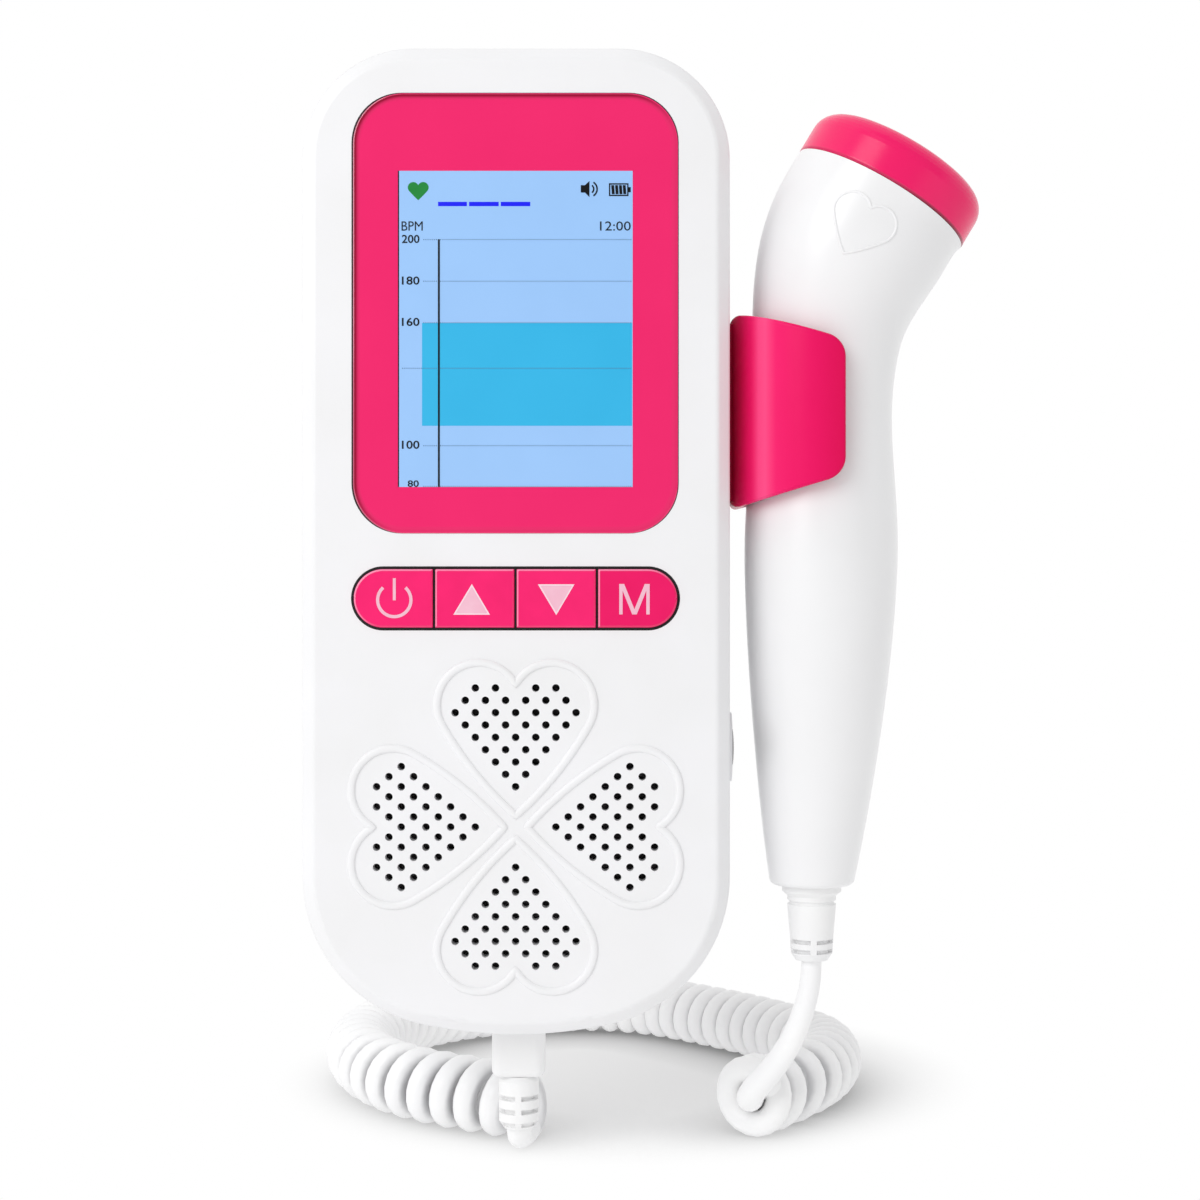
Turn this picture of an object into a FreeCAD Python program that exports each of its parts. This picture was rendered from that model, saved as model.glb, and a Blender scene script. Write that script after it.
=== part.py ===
"""Hand-held fetal doppler monitor with its ultrasound probe in a side clip.

Row frame, in millimetres: X to the right, Y away from the viewer, Z up.  The origin is the middle of the
monitor's flat back face, so the case runs from y = 0 (back) to y = -CASE_DEPTH (face with the screen).
Each physical piece is one solid (or one group of like solids) in parts/NODE.step.
"""
import FreeCAD, Part
import math
import os

V = FreeCAD.Vector

# ---------------------------------------------------------------- driving dimensions, millimetres
CASE_WIDTH = 67.3
CASE_HEIGHT = 155.2
CASE_DEPTH = 30.0
TOP_CORNER_R = 17.4
BOTTOM_CORNER_R = 23.7
BOTTOM_ARC_R = 67.9
FRONT_CHAMFER = 2.0           # slanted band around the face
FRONT_EDGE_R = 1.2            # rounding at both of its edges
BACK_BEVEL_R = 4.0
SIDE_WALL = 2.2
FRONT_WALL = 2.6
BACK_WALL = 3.0
PARTING_DEPTH = 10.0          # depth of the rear shell
LIP_THICKNESS = 0.9
LIP_HEIGHT = 1.5
OVERLAP = 0.5                 # how far joined shapes of one solid reach into each other
ROUND_END_MARGIN = 0.01       # a round end's radius below half the width, so that the side keeps a flat
PASS = 1.0                    # how far a cutting shape passes the surface that it opens

FIT = 0.1                     # gap between fixed pieces that slip into each other
SLIDE_FIT = 0.2               # gap around pieces that slide

SCREEN_PANEL_WIDTH = 50.6
SCREEN_PANEL_HEIGHT = 68.6
SCREEN_PANEL_TOP_MARGIN = 7.7  # case's top to the panel
SCREEN_PANEL_R = 7.8
SCREEN_PANEL_THICKNESS = 1.5
SCREEN_PANEL_PROUD = 0.1
SCREEN_PANEL_EDGE_R = 0.3
DISPLAY_WIDTH = 36.4
DISPLAY_HEIGHT = 49.2
DISPLAY_DROP = 2.5            # display's centre below the panel's
DISPLAY_MARGIN = 1.2
LCD_BORDER = 3.0
LCD_THICKNESS = 2.4
GASKET_THICKNESS = 0.4
GASKET_INSET = 0.5            # gasket's edge inside the display tray's
GLASS_OVERLAP = 0.2
RIBBON_WIDTH = 18.0
RIBBON_THICKNESS = 0.2
RIBBON_BEND = 2.0             # ribbon's reach below the display
RIBBON_INSET = 0.4            # ribbon to the display tray's back

KEY_SLOT_WIDTH = 51.3
KEY_SLOT_HEIGHT = 9.9
KEY_ROW_DROP = 5.3            # panel's lower edge to the key slot
KEY_GAP = 0.4
KEY_PROUD = 0.5
KEY_TRAVEL = 0.8
KEY_EDGE_R = 0.35
KEY_FLANGE = 0.8
KEY_NAMES = ("power", "up", "down", "mode")
MEMBRANE_THICKNESS = 0.5
MEMBRANE_GAP = 0.05           # pressed key to the membrane
MEMBRANE_SIDE_INSET = 0.5
MEMBRANE_END_INSET = 0.6
SWITCH_SIZE = 4.5
SWITCH_HEIGHT = 1.5
SWITCH_STEM_R = 1.2
SWITCH_STEM_HEIGHT = 0.4

CLOVER_RISE = 32.9            # case's bottom to the clover's centre
HEART_TIP_OFFSET = 1.8        # heart tip to the clover's centre
HEART_WIDTH = 24.6
HEART_HEIGHT = 23.9
HEART_NOTCH = 3.4
HEART_TIP_HALF_ANGLE = 48.5
RIDGE_WIDTH = 0.4
RIDGE_HEIGHT = 0.2
HOLE_R = 0.6
HOLE_PITCH_ACROSS = 3.15
HOLE_PITCH_ALONG = 1.93
HOLE_FIRST = 6.3              # clover's centre to the hole at a heart's tip
HOLE_ROWS = (1, 2, 3, 4, 5, 6, 7, 6)
HOLE_LAST_ROW = (-2, -1, 1, 2)  # places in the last row, which leaves the heart's notch free

SPEAKER_R = 18.0
SPEAKER_DEPTH = 4.6
SPEAKER_RIM_WIDTH = 2.0
SPEAKER_RIM_HEIGHT = 1.5
SPEAKER_BACK_THICKNESS = 1.0
SPEAKER_BACK_INSET = 1.0
SPEAKER_BACK_OVERLAP = 2.0    # basket's back over the magnet's edge
CONE_DROP = 0.7               # basket's rim to the cone's front
CONE_THICKNESS = 0.4
SPEAKER_CLOTH_R = 24.3
SPEAKER_CLOTH_THICKNESS = 0.3
MAGNET_R = 9.0

PCB_THICKNESS = 1.6
PCB_WIDTH = 59.0
PCB_TOP_MARGIN = 24.4         # board's ends above the display's centre and below the key row
PCB_BOTTOM_MARGIN = 11.55
PCB_POST_R = 2.0
PCB_POST_X = 26.5
PCB_POST_INSET = (6.5, 2.2)   # posts from the board's top and bottom ends
SMALL_SCREW_R = 0.9
SMALL_SCREW_HEAD_R = 1.8
SMALL_SCREW_HEAD_HEIGHT = 1.2
SMALL_SCREW_GRIP = 2.0         # its length in the post
SCREW_HOLE_GAP = 0.02         # thread to the hole that it grips
SCREW_PASS_GAP = 0.2          # screw to a hole that it passes through
CHIP_THICKNESS = 1.4
# chips: x, drop below the board's top, width, height
CHIPS = (
    (-12, 13.5, 10, 10), (6, 17.5, 8, 8), (-8, 35.5, 6, 5),
    (10, 39.5, 5, 9), (-20, 49.5, 5, 5), (18, 55.5, 6, 6),
)

CASE_SCREW_R = 1.2
CASE_SCREW_HEAD_R = 2.3
CASE_SCREW_LENGTH = 12.0       # depth of its hole in front of the parting plane
CASE_SCREW_TIP_GAP = 1.0
CASE_SCREW_HEAD_HEIGHT = 1.8
CASE_SCREW_SEAT = 1.0         # head's seat in front of the back wall
CASE_SCREW_CROSS = (3.0, 0.7)  # cross recess: arm's length and width
CASE_SCREW_CROSS_DEPTH = 0.9
BOSS_R = 3.0
BOSS_INSET = 5.85             # case's side to the screw's axis
BOSS_END_INSETS = (15.6, 27.6)  # case's top and bottom to the screws' axes

BATTERY_R = 7.1
BATTERY_LENGTH = 50.5
BATTERY_NUB_R = 2.75
BATTERY_NUB_LENGTH = 1.3
BATTERY_GAP = 0.8
BAY_RISE = 12.1               # case's bottom to the battery bay
BAY_DOOR_GAP = 0.4            # cells to the door's rails
SPRING_LENGTH = 4.7
SPRING_BASE_R = 4.8
SPRING_TIP_R = 3.2
SPRING_WALL = 0.5
CONTACT_THICKNESS = 0.4
CONTACT_WIDTH = 10.0
CONTACT_INSET = 1.0
TRAY_WALL = 1.2
DOOR_WIDTH = 38.0
DOOR_TOP_OVERLAP = 3.5        # door's end above the battery bay
DOOR_THICKNESS = 1.7
DOOR_TAB_REACH = 1.0
DOOR_TAB_THICKNESS = 0.9
DOOR_TAB_LENGTH = 6.0
DOOR_TAB_COUNT = 3
DOOR_TAB_PLACE = 0.4          # a tab's middle, as a share of its stretch of the bay
DOOR_GRIP_COUNT = 5
DOOR_GRIP_PITCH = 2.2
DOOR_GRIP_LENGTH = 14.0
DOOR_GRIP_SIZE = (1.0, 0.5)    # a groove's width and depth
DOOR_GRIP_DROP = 7.0          # door's top to the first groove
DOOR_TRAVEL = 7.0             # the tabs then stand at the notches and the door lifts off

MID_DEPTH = 13.5              # case's face to the plane of the clip, probe and plug
CLIP_GAP = 0.5                # probe's thickest handle section to the clip
CLIP_THICKNESS = 2.15
CLIP_STANDOFF = 0.6           # case's side to the clip's sleeve
CLIP_JAW_LENGTH = 2.2
CLIP_DROP = 40.7              # case's top to the clip's upper corner
CLIP_LEFT_HEIGHT = 31.6
CLIP_RIGHT_INSETS = (5.4, 5.1)  # how much lower and higher the clip's ends are at the open side
CLIP_CORNER_R = 3.8
CLIP_LEFT_CORNER_R = 1.2
CLIP_FOOT_WIDTH = 5.0
CLIP_FOOT_INSET = 1.5         # clip's ends to the foot's
CLIP_SCREW_END = 0.6          # screw's tip to the clip's inside
CLIP_HOLE_END = 0.5           # its hole's end to the clip's inside
CLIP_EDGE_R = 0.5
RIM_PLACES = 5                # places along an edge where it is looked at
CLIP_SCREW_R = 1.0
CLIP_SCREW_HEAD_R = 1.9
CLIP_SCREW_HEAD_HEIGHT = 1.3
CLIP_SCREW_GAP = 0.05
CLIP_SCREW_PITCH = 16.0

JACK_RISE = 44.9              # case's bottom to the earphone socket
JACK_DEPTH = 8.0              # case's face to its axis
JACK_BORE_R = 1.8
JACK_BORE_LENGTH = 14.0
JACK_RING_R = 2.95
JACK_RING_GAP = 0.05
JACK_PROUD = 0.75
JACK_BODY = (13.0, 6.0, 6.8)   # its body's length, depth and height
JACK_PAD_LENGTH = 11.0
JACK_PAD_WIDTH = 7.4
JACK_PAD_HEIGHT = 0.55

PROBE_R = 12.4                # the handle's thickest section
# probe body: x and z from the clip's centre, radius beyond PROBE_R, tilt of the section's normal in degrees
PROBE_SECTIONS = (
    (9.4, 34.7, 2.8, 31.0),
    (5.4, 27.8, 2.55, 20.7),
    (2.4, 20.1, 1.2, 14.0),
    (1.1, 14.9, 0.1, 9.0),
    (0.2, 5.9, -0.9, 2.5),
    (-0.05, -3.1, -1.0, 0.0),
    (-0.1, -13.1, -0.35, 0.0),
    (-0.15, -23.1, 0.0, 0.0),
    (-0.35, -36.1, -0.6, 0.0),
    (-0.75, -51.1, -2.0, 0.0),
    (-1.2, -64.1, -3.65, 0.0),
    (-1.65, -76.5, -5.65, 0.0),
)
PROBE_WALL = 1.8
PROBE_END_WALL = 2.4
PROBE_END_R = 1.0
PROBE_RIB_BITE = 0.3          # ribs into the shell's wall
CAP_OVERHANG = 0.05           # cap's side beyond the probe's head
CAP_HEIGHT = 8.0
CAP_EDGE_R = 3.4
CAP_EDGE_STEPS = 8
CAP_SEAM_BEVEL = 0.35
CAP_SPIGOT_HEIGHT = 3.0
CAP_SPIGOT_GAP = 0.9
PROBE_BOARD_LEFT = -4.3       # board's left edge and ribs, from the clip's centre
PROBE_BOARD_WIDTH = 8.0
PROBE_BOARD_THICKNESS = 1.0
PROBE_BOARD_ENDS = (5.0, 8.0)  # board's ends below the lower rib and above the upper one
PROBE_RIB_THICKNESS = 1.2
PROBE_RIB_HEIGHTS = (-36.1, 0.9)
LENS_R = 10.6
LENS_THICKNESS = 1.6
PIEZO_R = 8.0
PIEZO_THICKNESS = 1.2
PIEZO_GAP = 1.0
BACKING_HEIGHT = 7.0
PROBE_RELIEF_HOLE_R = 3.0
PROBE_RELIEF_SHANK = 5.0      # relief's length inside the probe
PROBE_RELIEF_ROWS = (9.1, 10.7)  # slots, below the probe's end
PROBE_RELIEF_SLOT = (2.7, 3.8, 0.7)  # a slot's inner and outer radius and height
RELIEF_RIB_WIDTH = 1.0        # ribs left between the slots of a row

PLUG_X = 0.0
PLUG_WIDTH = 8.6
PLUG_DEPTH = 6.6
PLUG_TOP_GAP = 0.3            # plug block to the bottom of the case
PLUG_LENGTH = 8.5
PLUG_EDGE_R = 1.6
PLUG_END_R = 1.2
PLUG_TONGUE_WIDTH = 5.0
PLUG_TONGUE_DEPTH = 1.8
PLUG_TONGUE_LENGTH = 7.5
PLUG_RELIEF_R = 3.25
PLUG_RELIEF_LENGTH = 8.6
PLUG_RELIEF_ENDS = ((0.7, 0.8), (0.9, 1.2))  # narrower at each end: by how much, over what length
PLUG_RELIEF_ROWS = (3.4, 5.55, 7.7)  # slots, below the plug's block
PLUG_RELIEF_SLOT = (0.9, 0.8)  # a slot's depth and height
PLUG_CORD_DEPTH = 4.4         # how far the cord reaches into the plug's sleeve
CORD_END_GAP = 0.05           # cord to the probe's sleeve, which slides past it
SOCKET_WALL = 0.8
SOCKET_END_GAP = 0.5          # tongue's tip to the socket's end wall
SOCKET_END_WALL = 1.0
SOCKET_ROOM = (16.0, 12.0)     # gap in the shells' lip at the socket: width and height
RUN_SHARE = 0.45              # part of the shorter run that a bend of the cord takes at each side

CORD_R = 1.8
COIL_R = 6.1                  # outer radius of the curly cord
CORD_DROP = 5.2               # plug's sleeve to the surface that the cord lies on

# ---------------------------------------------------------------- values worked out from them
HALF_W = CASE_WIDTH / 2.0
HALF_H = CASE_HEIGHT / 2.0
FRONT_Y = -CASE_DEPTH
MID_Y = FRONT_Y + MID_DEPTH
JACK_Y = FRONT_Y + JACK_DEPTH
INNER_FRONT_Y = FRONT_Y + FRONT_WALL
PARTING_Y = -PARTING_DEPTH
PANEL_FRONT_Y = FRONT_Y - SCREEN_PANEL_PROUD
PANEL_BACK_Y = PANEL_FRONT_Y + SCREEN_PANEL_THICKNESS
SCREEN_PANEL_CENTRE_Z = HALF_H - SCREEN_PANEL_TOP_MARGIN - SCREEN_PANEL_HEIGHT / 2.0
DISPLAY_CENTRE_Z = SCREEN_PANEL_CENTRE_Z - DISPLAY_DROP
KEY_ROW_Z = SCREEN_PANEL_CENTRE_Z - (SCREEN_PANEL_HEIGHT + KEY_SLOT_HEIGHT) / 2.0 - KEY_ROW_DROP
CLOVER_Z = -HALF_H + CLOVER_RISE
JACK_Z = -HALF_H + JACK_RISE
PCB_TOP_Z = DISPLAY_CENTRE_Z + PCB_TOP_MARGIN
PCB_BOTTOM_Z = KEY_ROW_Z - PCB_BOTTOM_MARGIN
PCB_POST_Z = (PCB_TOP_Z - PCB_POST_INSET[0], PCB_BOTTOM_Z + PCB_POST_INSET[1])
BOSS_X = HALF_W - BOSS_INSET
BOSS_Z = (HALF_H - BOSS_END_INSETS[0], -HALF_H + BOSS_END_INSETS[1])
GASKET_BACK_Y = INNER_FRONT_Y + GASKET_THICKNESS
SPEAKER_FRONT_Y = INNER_FRONT_Y + SPEAKER_CLOTH_THICKNESS
LCD_BACK_Y = GASKET_BACK_Y + LCD_THICKNESS
KEY_FLANGE_FRONT_Y = INNER_FRONT_Y + FIT
KEY_BACK_Y = KEY_FLANGE_FRONT_Y + KEY_FLANGE
MEMBRANE_FRONT_Y = KEY_BACK_Y + KEY_TRAVEL + MEMBRANE_GAP
MEMBRANE_BACK_Y = MEMBRANE_FRONT_Y + MEMBRANE_THICKNESS
PCB_FRONT_Y = MEMBRANE_BACK_Y + SWITCH_HEIGHT
PCB_BACK_Y = PCB_FRONT_Y + PCB_THICKNESS
KEY_PITCH = (KEY_SLOT_WIDTH - KEY_GAP) / len(KEY_NAMES)
BATTERY_PITCH = 2.0 * BATTERY_R + BATTERY_GAP
BAY_WIDTH = BATTERY_PITCH + 2.0 * BATTERY_R + 2.0 * SLIDE_FIT
BAY_LENGTH = BATTERY_LENGTH + SPRING_LENGTH + 2.0 * CONTACT_THICKNESS
BAY_BOTTOM_Z = -HALF_H + BAY_RISE
BAY_TOP_Z = BAY_BOTTOM_Z + BAY_LENGTH
DOOR_TOP_Z = BAY_TOP_Z + DOOR_TOP_OVERLAP
BATTERY_Y = -(DOOR_THICKNESS + SLIDE_FIT + BAY_DOOR_GAP + BATTERY_R)
BAY_FRONT_Y = BATTERY_Y - BATTERY_R - SLIDE_FIT
CLIP_INNER_R = PROBE_R + CLIP_GAP
CLIP_OUTER_R = CLIP_INNER_R + CLIP_THICKNESS
CLIP_X = HALF_W + CLIP_STANDOFF + CLIP_OUTER_R
CLIP_INSIDE_X = CLIP_X - CLIP_INNER_R
CLIP_LEFT_TOP_Z = HALF_H - CLIP_DROP
CLIP_LEFT_BOTTOM_Z = CLIP_LEFT_TOP_Z - CLIP_LEFT_HEIGHT
CLIP_RIGHT_TOP_Z = CLIP_LEFT_TOP_Z - CLIP_RIGHT_INSETS[0]
CLIP_RIGHT_BOTTOM_Z = CLIP_LEFT_BOTTOM_Z + CLIP_RIGHT_INSETS[1]
CLIP_MID_Z = (CLIP_LEFT_TOP_Z + CLIP_LEFT_BOTTOM_Z) / 2.0
CASE_BOTTOM_Z = -HALF_H
PLUG_TOP_Z = CASE_BOTTOM_Z - PLUG_TOP_GAP
PLUG_BOTTOM_Z = PLUG_TOP_Z - PLUG_LENGTH
PLUG_RELIEF_END_Z = PLUG_BOTTOM_Z - PLUG_RELIEF_LENGTH
FLOOR_Z = PLUG_RELIEF_END_Z - CORD_DROP
COIL_AXIS_Z = FLOOR_Z + COIL_R
LEAD_FLOOR_Z = FLOOR_Z + CORD_R
# probe stations: centre x, centre z, radius, tilt
PROBE_STATIONS = [(CLIP_X + dx, CLIP_MID_Z + dz, PROBE_R + dr, tilt) for dx, dz, dr, tilt in PROBE_SECTIONS]
HEAD_X, HEAD_Z, HEAD_R, HEAD_TILT = PROBE_STATIONS[0]
PROBE_END_X, PROBE_END_Z = PROBE_STATIONS[-1][:2]
PROBE_BOARD_X = CLIP_X + PROBE_BOARD_LEFT
PROBE_RIB_Z = [CLIP_MID_Z + height for height in PROBE_RIB_HEIGHTS]
CAP_R = HEAD_R + CAP_OVERHANG
CAP_DIRECTION = V(math.sin(math.radians(HEAD_TILT)), 0, math.cos(math.radians(HEAD_TILT)))
CAP_CENTRE = V(HEAD_X, MID_Y, HEAD_Z)

# relief profile: (radius, distance below the probe's end)
PROBE_RELIEF_PROFILE = (
    (4.8, 0.0), (4.8, 1.1), (3.95, 1.8), (3.95, 2.5), (3.6, 2.7), (3.6, 3.0),
    (3.95, 3.2), (3.5, 8.8), (3.35, 11.2), (2.6, 12.3),
)
PROBE_RELIEF_END_Z = PROBE_END_Z - PROBE_RELIEF_PROFILE[-1][1]

# the cord's points, chosen by hand
PLUG_LEAD_POINTS = (
    (PLUG_X, MID_Y, PLUG_RELIEF_END_Z + PLUG_CORD_DEPTH),
    (PLUG_X, MID_Y, LEAD_FLOOR_Z),
    (PLUG_X + 0.6, MID_Y + 8.0, LEAD_FLOOR_Z),
    (PLUG_X + 2.2, MID_Y + 12.6, LEAD_FLOOR_Z),
)
COIL_POINTS = (
    (3.9, -3.8, COIL_AXIS_Z), (-14.6, 3.9, COIL_AXIS_Z), (-28.0, 19.2, COIL_AXIS_Z),
    (-33.2, 38.9, COIL_AXIS_Z), (-28.7, 59.3, COIL_AXIS_Z), (-16.2, 75.3, COIL_AXIS_Z),
    (2.7, 84.6, COIL_AXIS_Z), (22.9, 84.0, COIL_AXIS_Z), (40.9, 74.8, COIL_AXIS_Z),
    (53.2, 58.2, COIL_AXIS_Z), (56.9, 38.2, COIL_AXIS_Z), (51.2, 18.6, COIL_AXIS_Z),
    (38.8, -0.8, COIL_AXIS_Z),
)
PROBE_LEAD_POINTS = (
    (PROBE_END_X, MID_Y, PROBE_RELIEF_END_Z - CORD_END_GAP),
    (PROBE_END_X, MID_Y, PROBE_RELIEF_END_Z - 5.0),
    (46.9, -15.6, COIL_AXIS_Z + 17.7),
    (45.4, -13.6, COIL_AXIS_Z + 12.5),
    (43.3, -11.4, COIL_AXIS_Z + 7.7),
    (40.9, -9.0, COIL_AXIS_Z + 3.7),
    (39.4, -5.2, COIL_AXIS_Z + 0.6),
    (40.6, -0.6, COIL_AXIS_Z - 0.9),
)


# ---------------------------------------------------------------- helpers
def export(node, shape):
    """Write one node's solids to its own file."""
    solids = shape.Solids
    kept = solids[0] if len(solids) == 1 else Part.makeCompound(solids)
    kept.exportStep("parts/" + node + ".step")


def box(x0, x1, y0, y1, z0, z1):
    """Box between two corners, given in any order."""
    low = V(min(x0, x1), min(y0, y1), min(z0, z1))
    return Part.makeBox(abs(x1 - x0), abs(y1 - y0), abs(z1 - z0), low)


def rod(radius, start, end):
    """Cylinder from one point to another."""
    run = end - start
    return Part.makeCylinder(radius, run.Length, start, run)


def tube(outer, inner, start, end):
    """Hollow cylinder from one point to another."""
    return rod(outer, start, end).cut(rod(inner, start, end))


def line(a, b):
    """Straight edge between two points."""
    return Part.LineSegment(a, b).toShape()


def arc(centre, radius, from_deg, to_deg):
    """Arc in a plane of constant y; angles run from +X towards +Z."""
    def at(degrees):
        angle = math.radians(degrees)
        return centre + V(radius * math.cos(angle), 0, radius * math.sin(angle))
    return Part.Arc(at(from_deg), at((from_deg + to_deg) / 2.0), at(to_deg)).toShape()


def prism(edges, y0, y1):
    """Solid between two planes of constant y, over edges drawn at y = 0."""
    face = Part.Face(Part.Wire(Part.__sortEdges__(edges)))
    face.translate(V(0, min(y0, y1), 0))
    return face.extrude(V(0, abs(y1 - y0), 0))


def rounded_block(width, height, radius, centre_x, centre_z, y0, y1):
    """Block with a rounded-rectangle outline in X and Z."""
    half_w = width / 2.0 - radius
    half_h = height / 2.0 - radius
    edges = []
    for sign_x, sign_z, start in ((1, 1, 0), (-1, 1, 90), (-1, -1, 180), (1, -1, 270)):
        corner = V(centre_x + sign_x * half_w, 0, centre_z + sign_z * half_h)
        edges.append(arc(corner, radius, start, start + 90))
    ends = [(edge.Vertexes[0].Point, edge.Vertexes[-1].Point) for edge in edges]
    for i in range(4):
        start, end = ends[i][1], ends[(i + 1) % 4][0]
        if start.distanceToPoint(end) > 1e-6:
            edges.append(line(start, end))
    return prism(edges, y0, y1)


def revolved(profile, base, axis, across):
    """Solid of revolution from (radius, distance along the axis) points."""
    points = [base + across * radius + axis * along for radius, along in profile]
    first, last = profile[0], profile[-1]
    if first[0] > 0:
        points.insert(0, base + axis * first[1])
    if last[0] > 0:
        points.append(base + axis * last[1])
    face = Part.Face(Part.makePolygon(points + [points[0]]))
    return face.revolve(base, axis, 360)


def case_edges(inset):
    """Edges of the case outline in X and Z, moved inwards by inset."""
    half_w = HALF_W - inset
    top_r = TOP_CORNER_R - inset
    corner_r = BOTTOM_CORNER_R - inset
    bottom_r = BOTTOM_ARC_R - inset
    bottom_centre = V(0, 0, -HALF_H + BOTTOM_ARC_R)
    corner_x = HALF_W - BOTTOM_CORNER_R
    reach = BOTTOM_ARC_R - BOTTOM_CORNER_R
    corner_z = bottom_centre.z - math.sqrt(reach ** 2 - corner_x ** 2)
    tilt = math.degrees(math.asin(corner_x / reach))
    top_x = HALF_W - TOP_CORNER_R
    top_z = HALF_H - TOP_CORNER_R
    return [
        line(V(half_w, 0, corner_z), V(half_w, 0, top_z)),
        arc(V(top_x, 0, top_z), top_r, 0, 90),
        line(V(top_x, 0, top_z + top_r), V(-top_x, 0, top_z + top_r)),
        arc(V(-top_x, 0, top_z), top_r, 90, 180),
        line(V(-half_w, 0, top_z), V(-half_w, 0, corner_z)),
        arc(V(-corner_x, 0, corner_z), corner_r, 180, 270 - tilt),
        arc(bottom_centre, bottom_r, 270 - tilt, 270 + tilt),
        arc(V(corner_x, 0, corner_z), corner_r, 270 + tilt, 360),
    ]


def edges_at_y(shape, y):
    """Edges that lie wholly in one plane of constant y."""
    return [e for e in shape.Edges if all(abs(v.Y - y) < 1e-4 for v in e.Vertexes)]


def case_block():
    """The case's full outer shape: a slanted band around the face, a rounded back edge."""
    block = prism(case_edges(0.0), FRONT_Y, 0.0)
    block = block.makeFillet(BACK_BEVEL_R, edges_at_y(block, 0.0))
    block = block.makeChamfer(FRONT_CHAMFER, edges_at_y(block, FRONT_Y))
    band = edges_at_y(block, FRONT_Y) + edges_at_y(block, FRONT_Y + FRONT_CHAMFER)
    return block.makeFillet(FRONT_EDGE_R, band)


def stadium(width, height, centre_x, centre_z, y0, y1):
    """Block whose narrow ends are half rounds."""
    radius = min(width, height) / 2.0 - ROUND_END_MARGIN
    return rounded_block(width, height, radius, centre_x, centre_z, y0, y1)


def bosses():
    """Centres of the case screws, as (x, z)."""
    return [(side * BOSS_X, z) for z in BOSS_Z for side in (-1, 1)]


def pcb_posts():
    """Centres of the circuit board's posts, as (x, z)."""
    return [(side * PCB_POST_X, z) for z in PCB_POST_Z for side in (-1, 1)]


def rotated(point, quarter_turns):
    """(x, z) turned about the clover's centre by a number of quarter turns."""
    x, z = point
    for _ in range(quarter_turns):
        x, z = -z, x
    return x, z


def heart_wire(inset):
    """Outline of the upper heart, moved inwards by inset; the clover's centre is at the origin."""
    lobe_sum = HEART_WIDTH / 2.0 + HEART_NOTCH
    lobe_r = lobe_sum - math.sqrt(lobe_sum ** 2 - (HEART_WIDTH / 2.0) ** 2 - HEART_NOTCH ** 2)
    lobe = V(HEART_WIDTH / 2.0 - lobe_r, 0, HEART_HEIGHT - lobe_r)
    tip_angle = math.radians(HEART_TIP_HALF_ANGLE)
    lean = lobe.x * math.cos(tip_angle) - lobe.z * math.sin(tip_angle) + lobe_r
    side_r = (lobe_r ** 2 - lobe.x ** 2 - lobe.z ** 2) / (2.0 * lean)
    side = V(-side_r * math.cos(tip_angle), 0, side_r * math.sin(tip_angle))
    out = lobe - side
    join_angle = math.degrees(math.atan2(out.z, out.x))
    small, large = lobe_r - inset, side_r - inset
    notch_angle = 180.0 - math.degrees(math.acos(lobe.x / small))
    cross = math.sqrt(large ** 2 - side.x ** 2)
    tip_end = math.degrees(math.atan2(-cross, -side.x))
    lift = V(0, 0, HEART_TIP_OFFSET)
    edges = []
    for mirror in (1, -1):
        def flip(angle):
            return angle if mirror > 0 else 180.0 - angle
        edges.append(arc(V(mirror * side.x, 0, side.z) + lift, large, flip(tip_end), flip(join_angle)))
        edges.append(arc(V(mirror * lobe.x, 0, lobe.z) + lift, small, flip(join_angle), flip(notch_angle)))
    return edges


def heart_ridges():
    """The four heart-shaped ridges on the case's face."""
    ridge = prism(heart_wire(-RIDGE_WIDTH / 2.0), FRONT_Y - RIDGE_HEIGHT, FRONT_Y + OVERLAP)
    ridge = ridge.cut(prism(heart_wire(RIDGE_WIDTH / 2.0), FRONT_Y - PASS, FRONT_Y + PASS))
    ridge.translate(V(0, 0, CLOVER_Z))
    ridges = []
    for turn in range(4):
        copy = ridge.copy()
        copy.rotate(V(0, 0, CLOVER_Z), V(0, 1, 0), 90.0 * turn)
        ridges.append(copy)
    return ridges


def speaker_holes():
    """Cylinders for the sound holes in the four hearts."""
    rows = [[i - (count - 1) / 2.0 for i in range(count)] for count in HOLE_ROWS] + [HOLE_LAST_ROW]
    holes = []
    for turn in range(4):
        for row, offsets in enumerate(rows):
            along = HOLE_FIRST + row * HOLE_PITCH_ALONG
            for offset in offsets:
                x, z = rotated((offset * HOLE_PITCH_ACROSS, along), turn)
                z += CLOVER_Z
                holes.append(rod(HOLE_R, V(x, FRONT_Y - PASS, z), V(x, INNER_FRONT_Y + PASS, z)))
    return holes


# ---------------------------------------------------------------- case
def jack_pad():
    """Raised round-ended pad around the earphone socket, on the case's right side."""
    pad = stadium(JACK_PAD_WIDTH, JACK_PAD_LENGTH, JACK_Y, JACK_Z, 0.0, JACK_PAD_HEIGHT + OVERLAP)
    pad.rotate(V(0, 0, 0), V(0, 0, 1), 90)
    pad.translate(V(HALF_W + JACK_PAD_HEIGHT, 0, 0))
    return pad


def shell_posts():
    """Posts inside the front shell for the case screws and the circuit board."""
    posts = []
    for x, z in bosses():
        posts.append(rod(BOSS_R, V(x, INNER_FRONT_Y - OVERLAP, z), V(x, PARTING_Y, z)))
    for x, z in pcb_posts():
        posts.append(rod(PCB_POST_R, V(x, INNER_FRONT_Y - OVERLAP, z), V(x, PCB_FRONT_Y, z)))
    return posts


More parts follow.
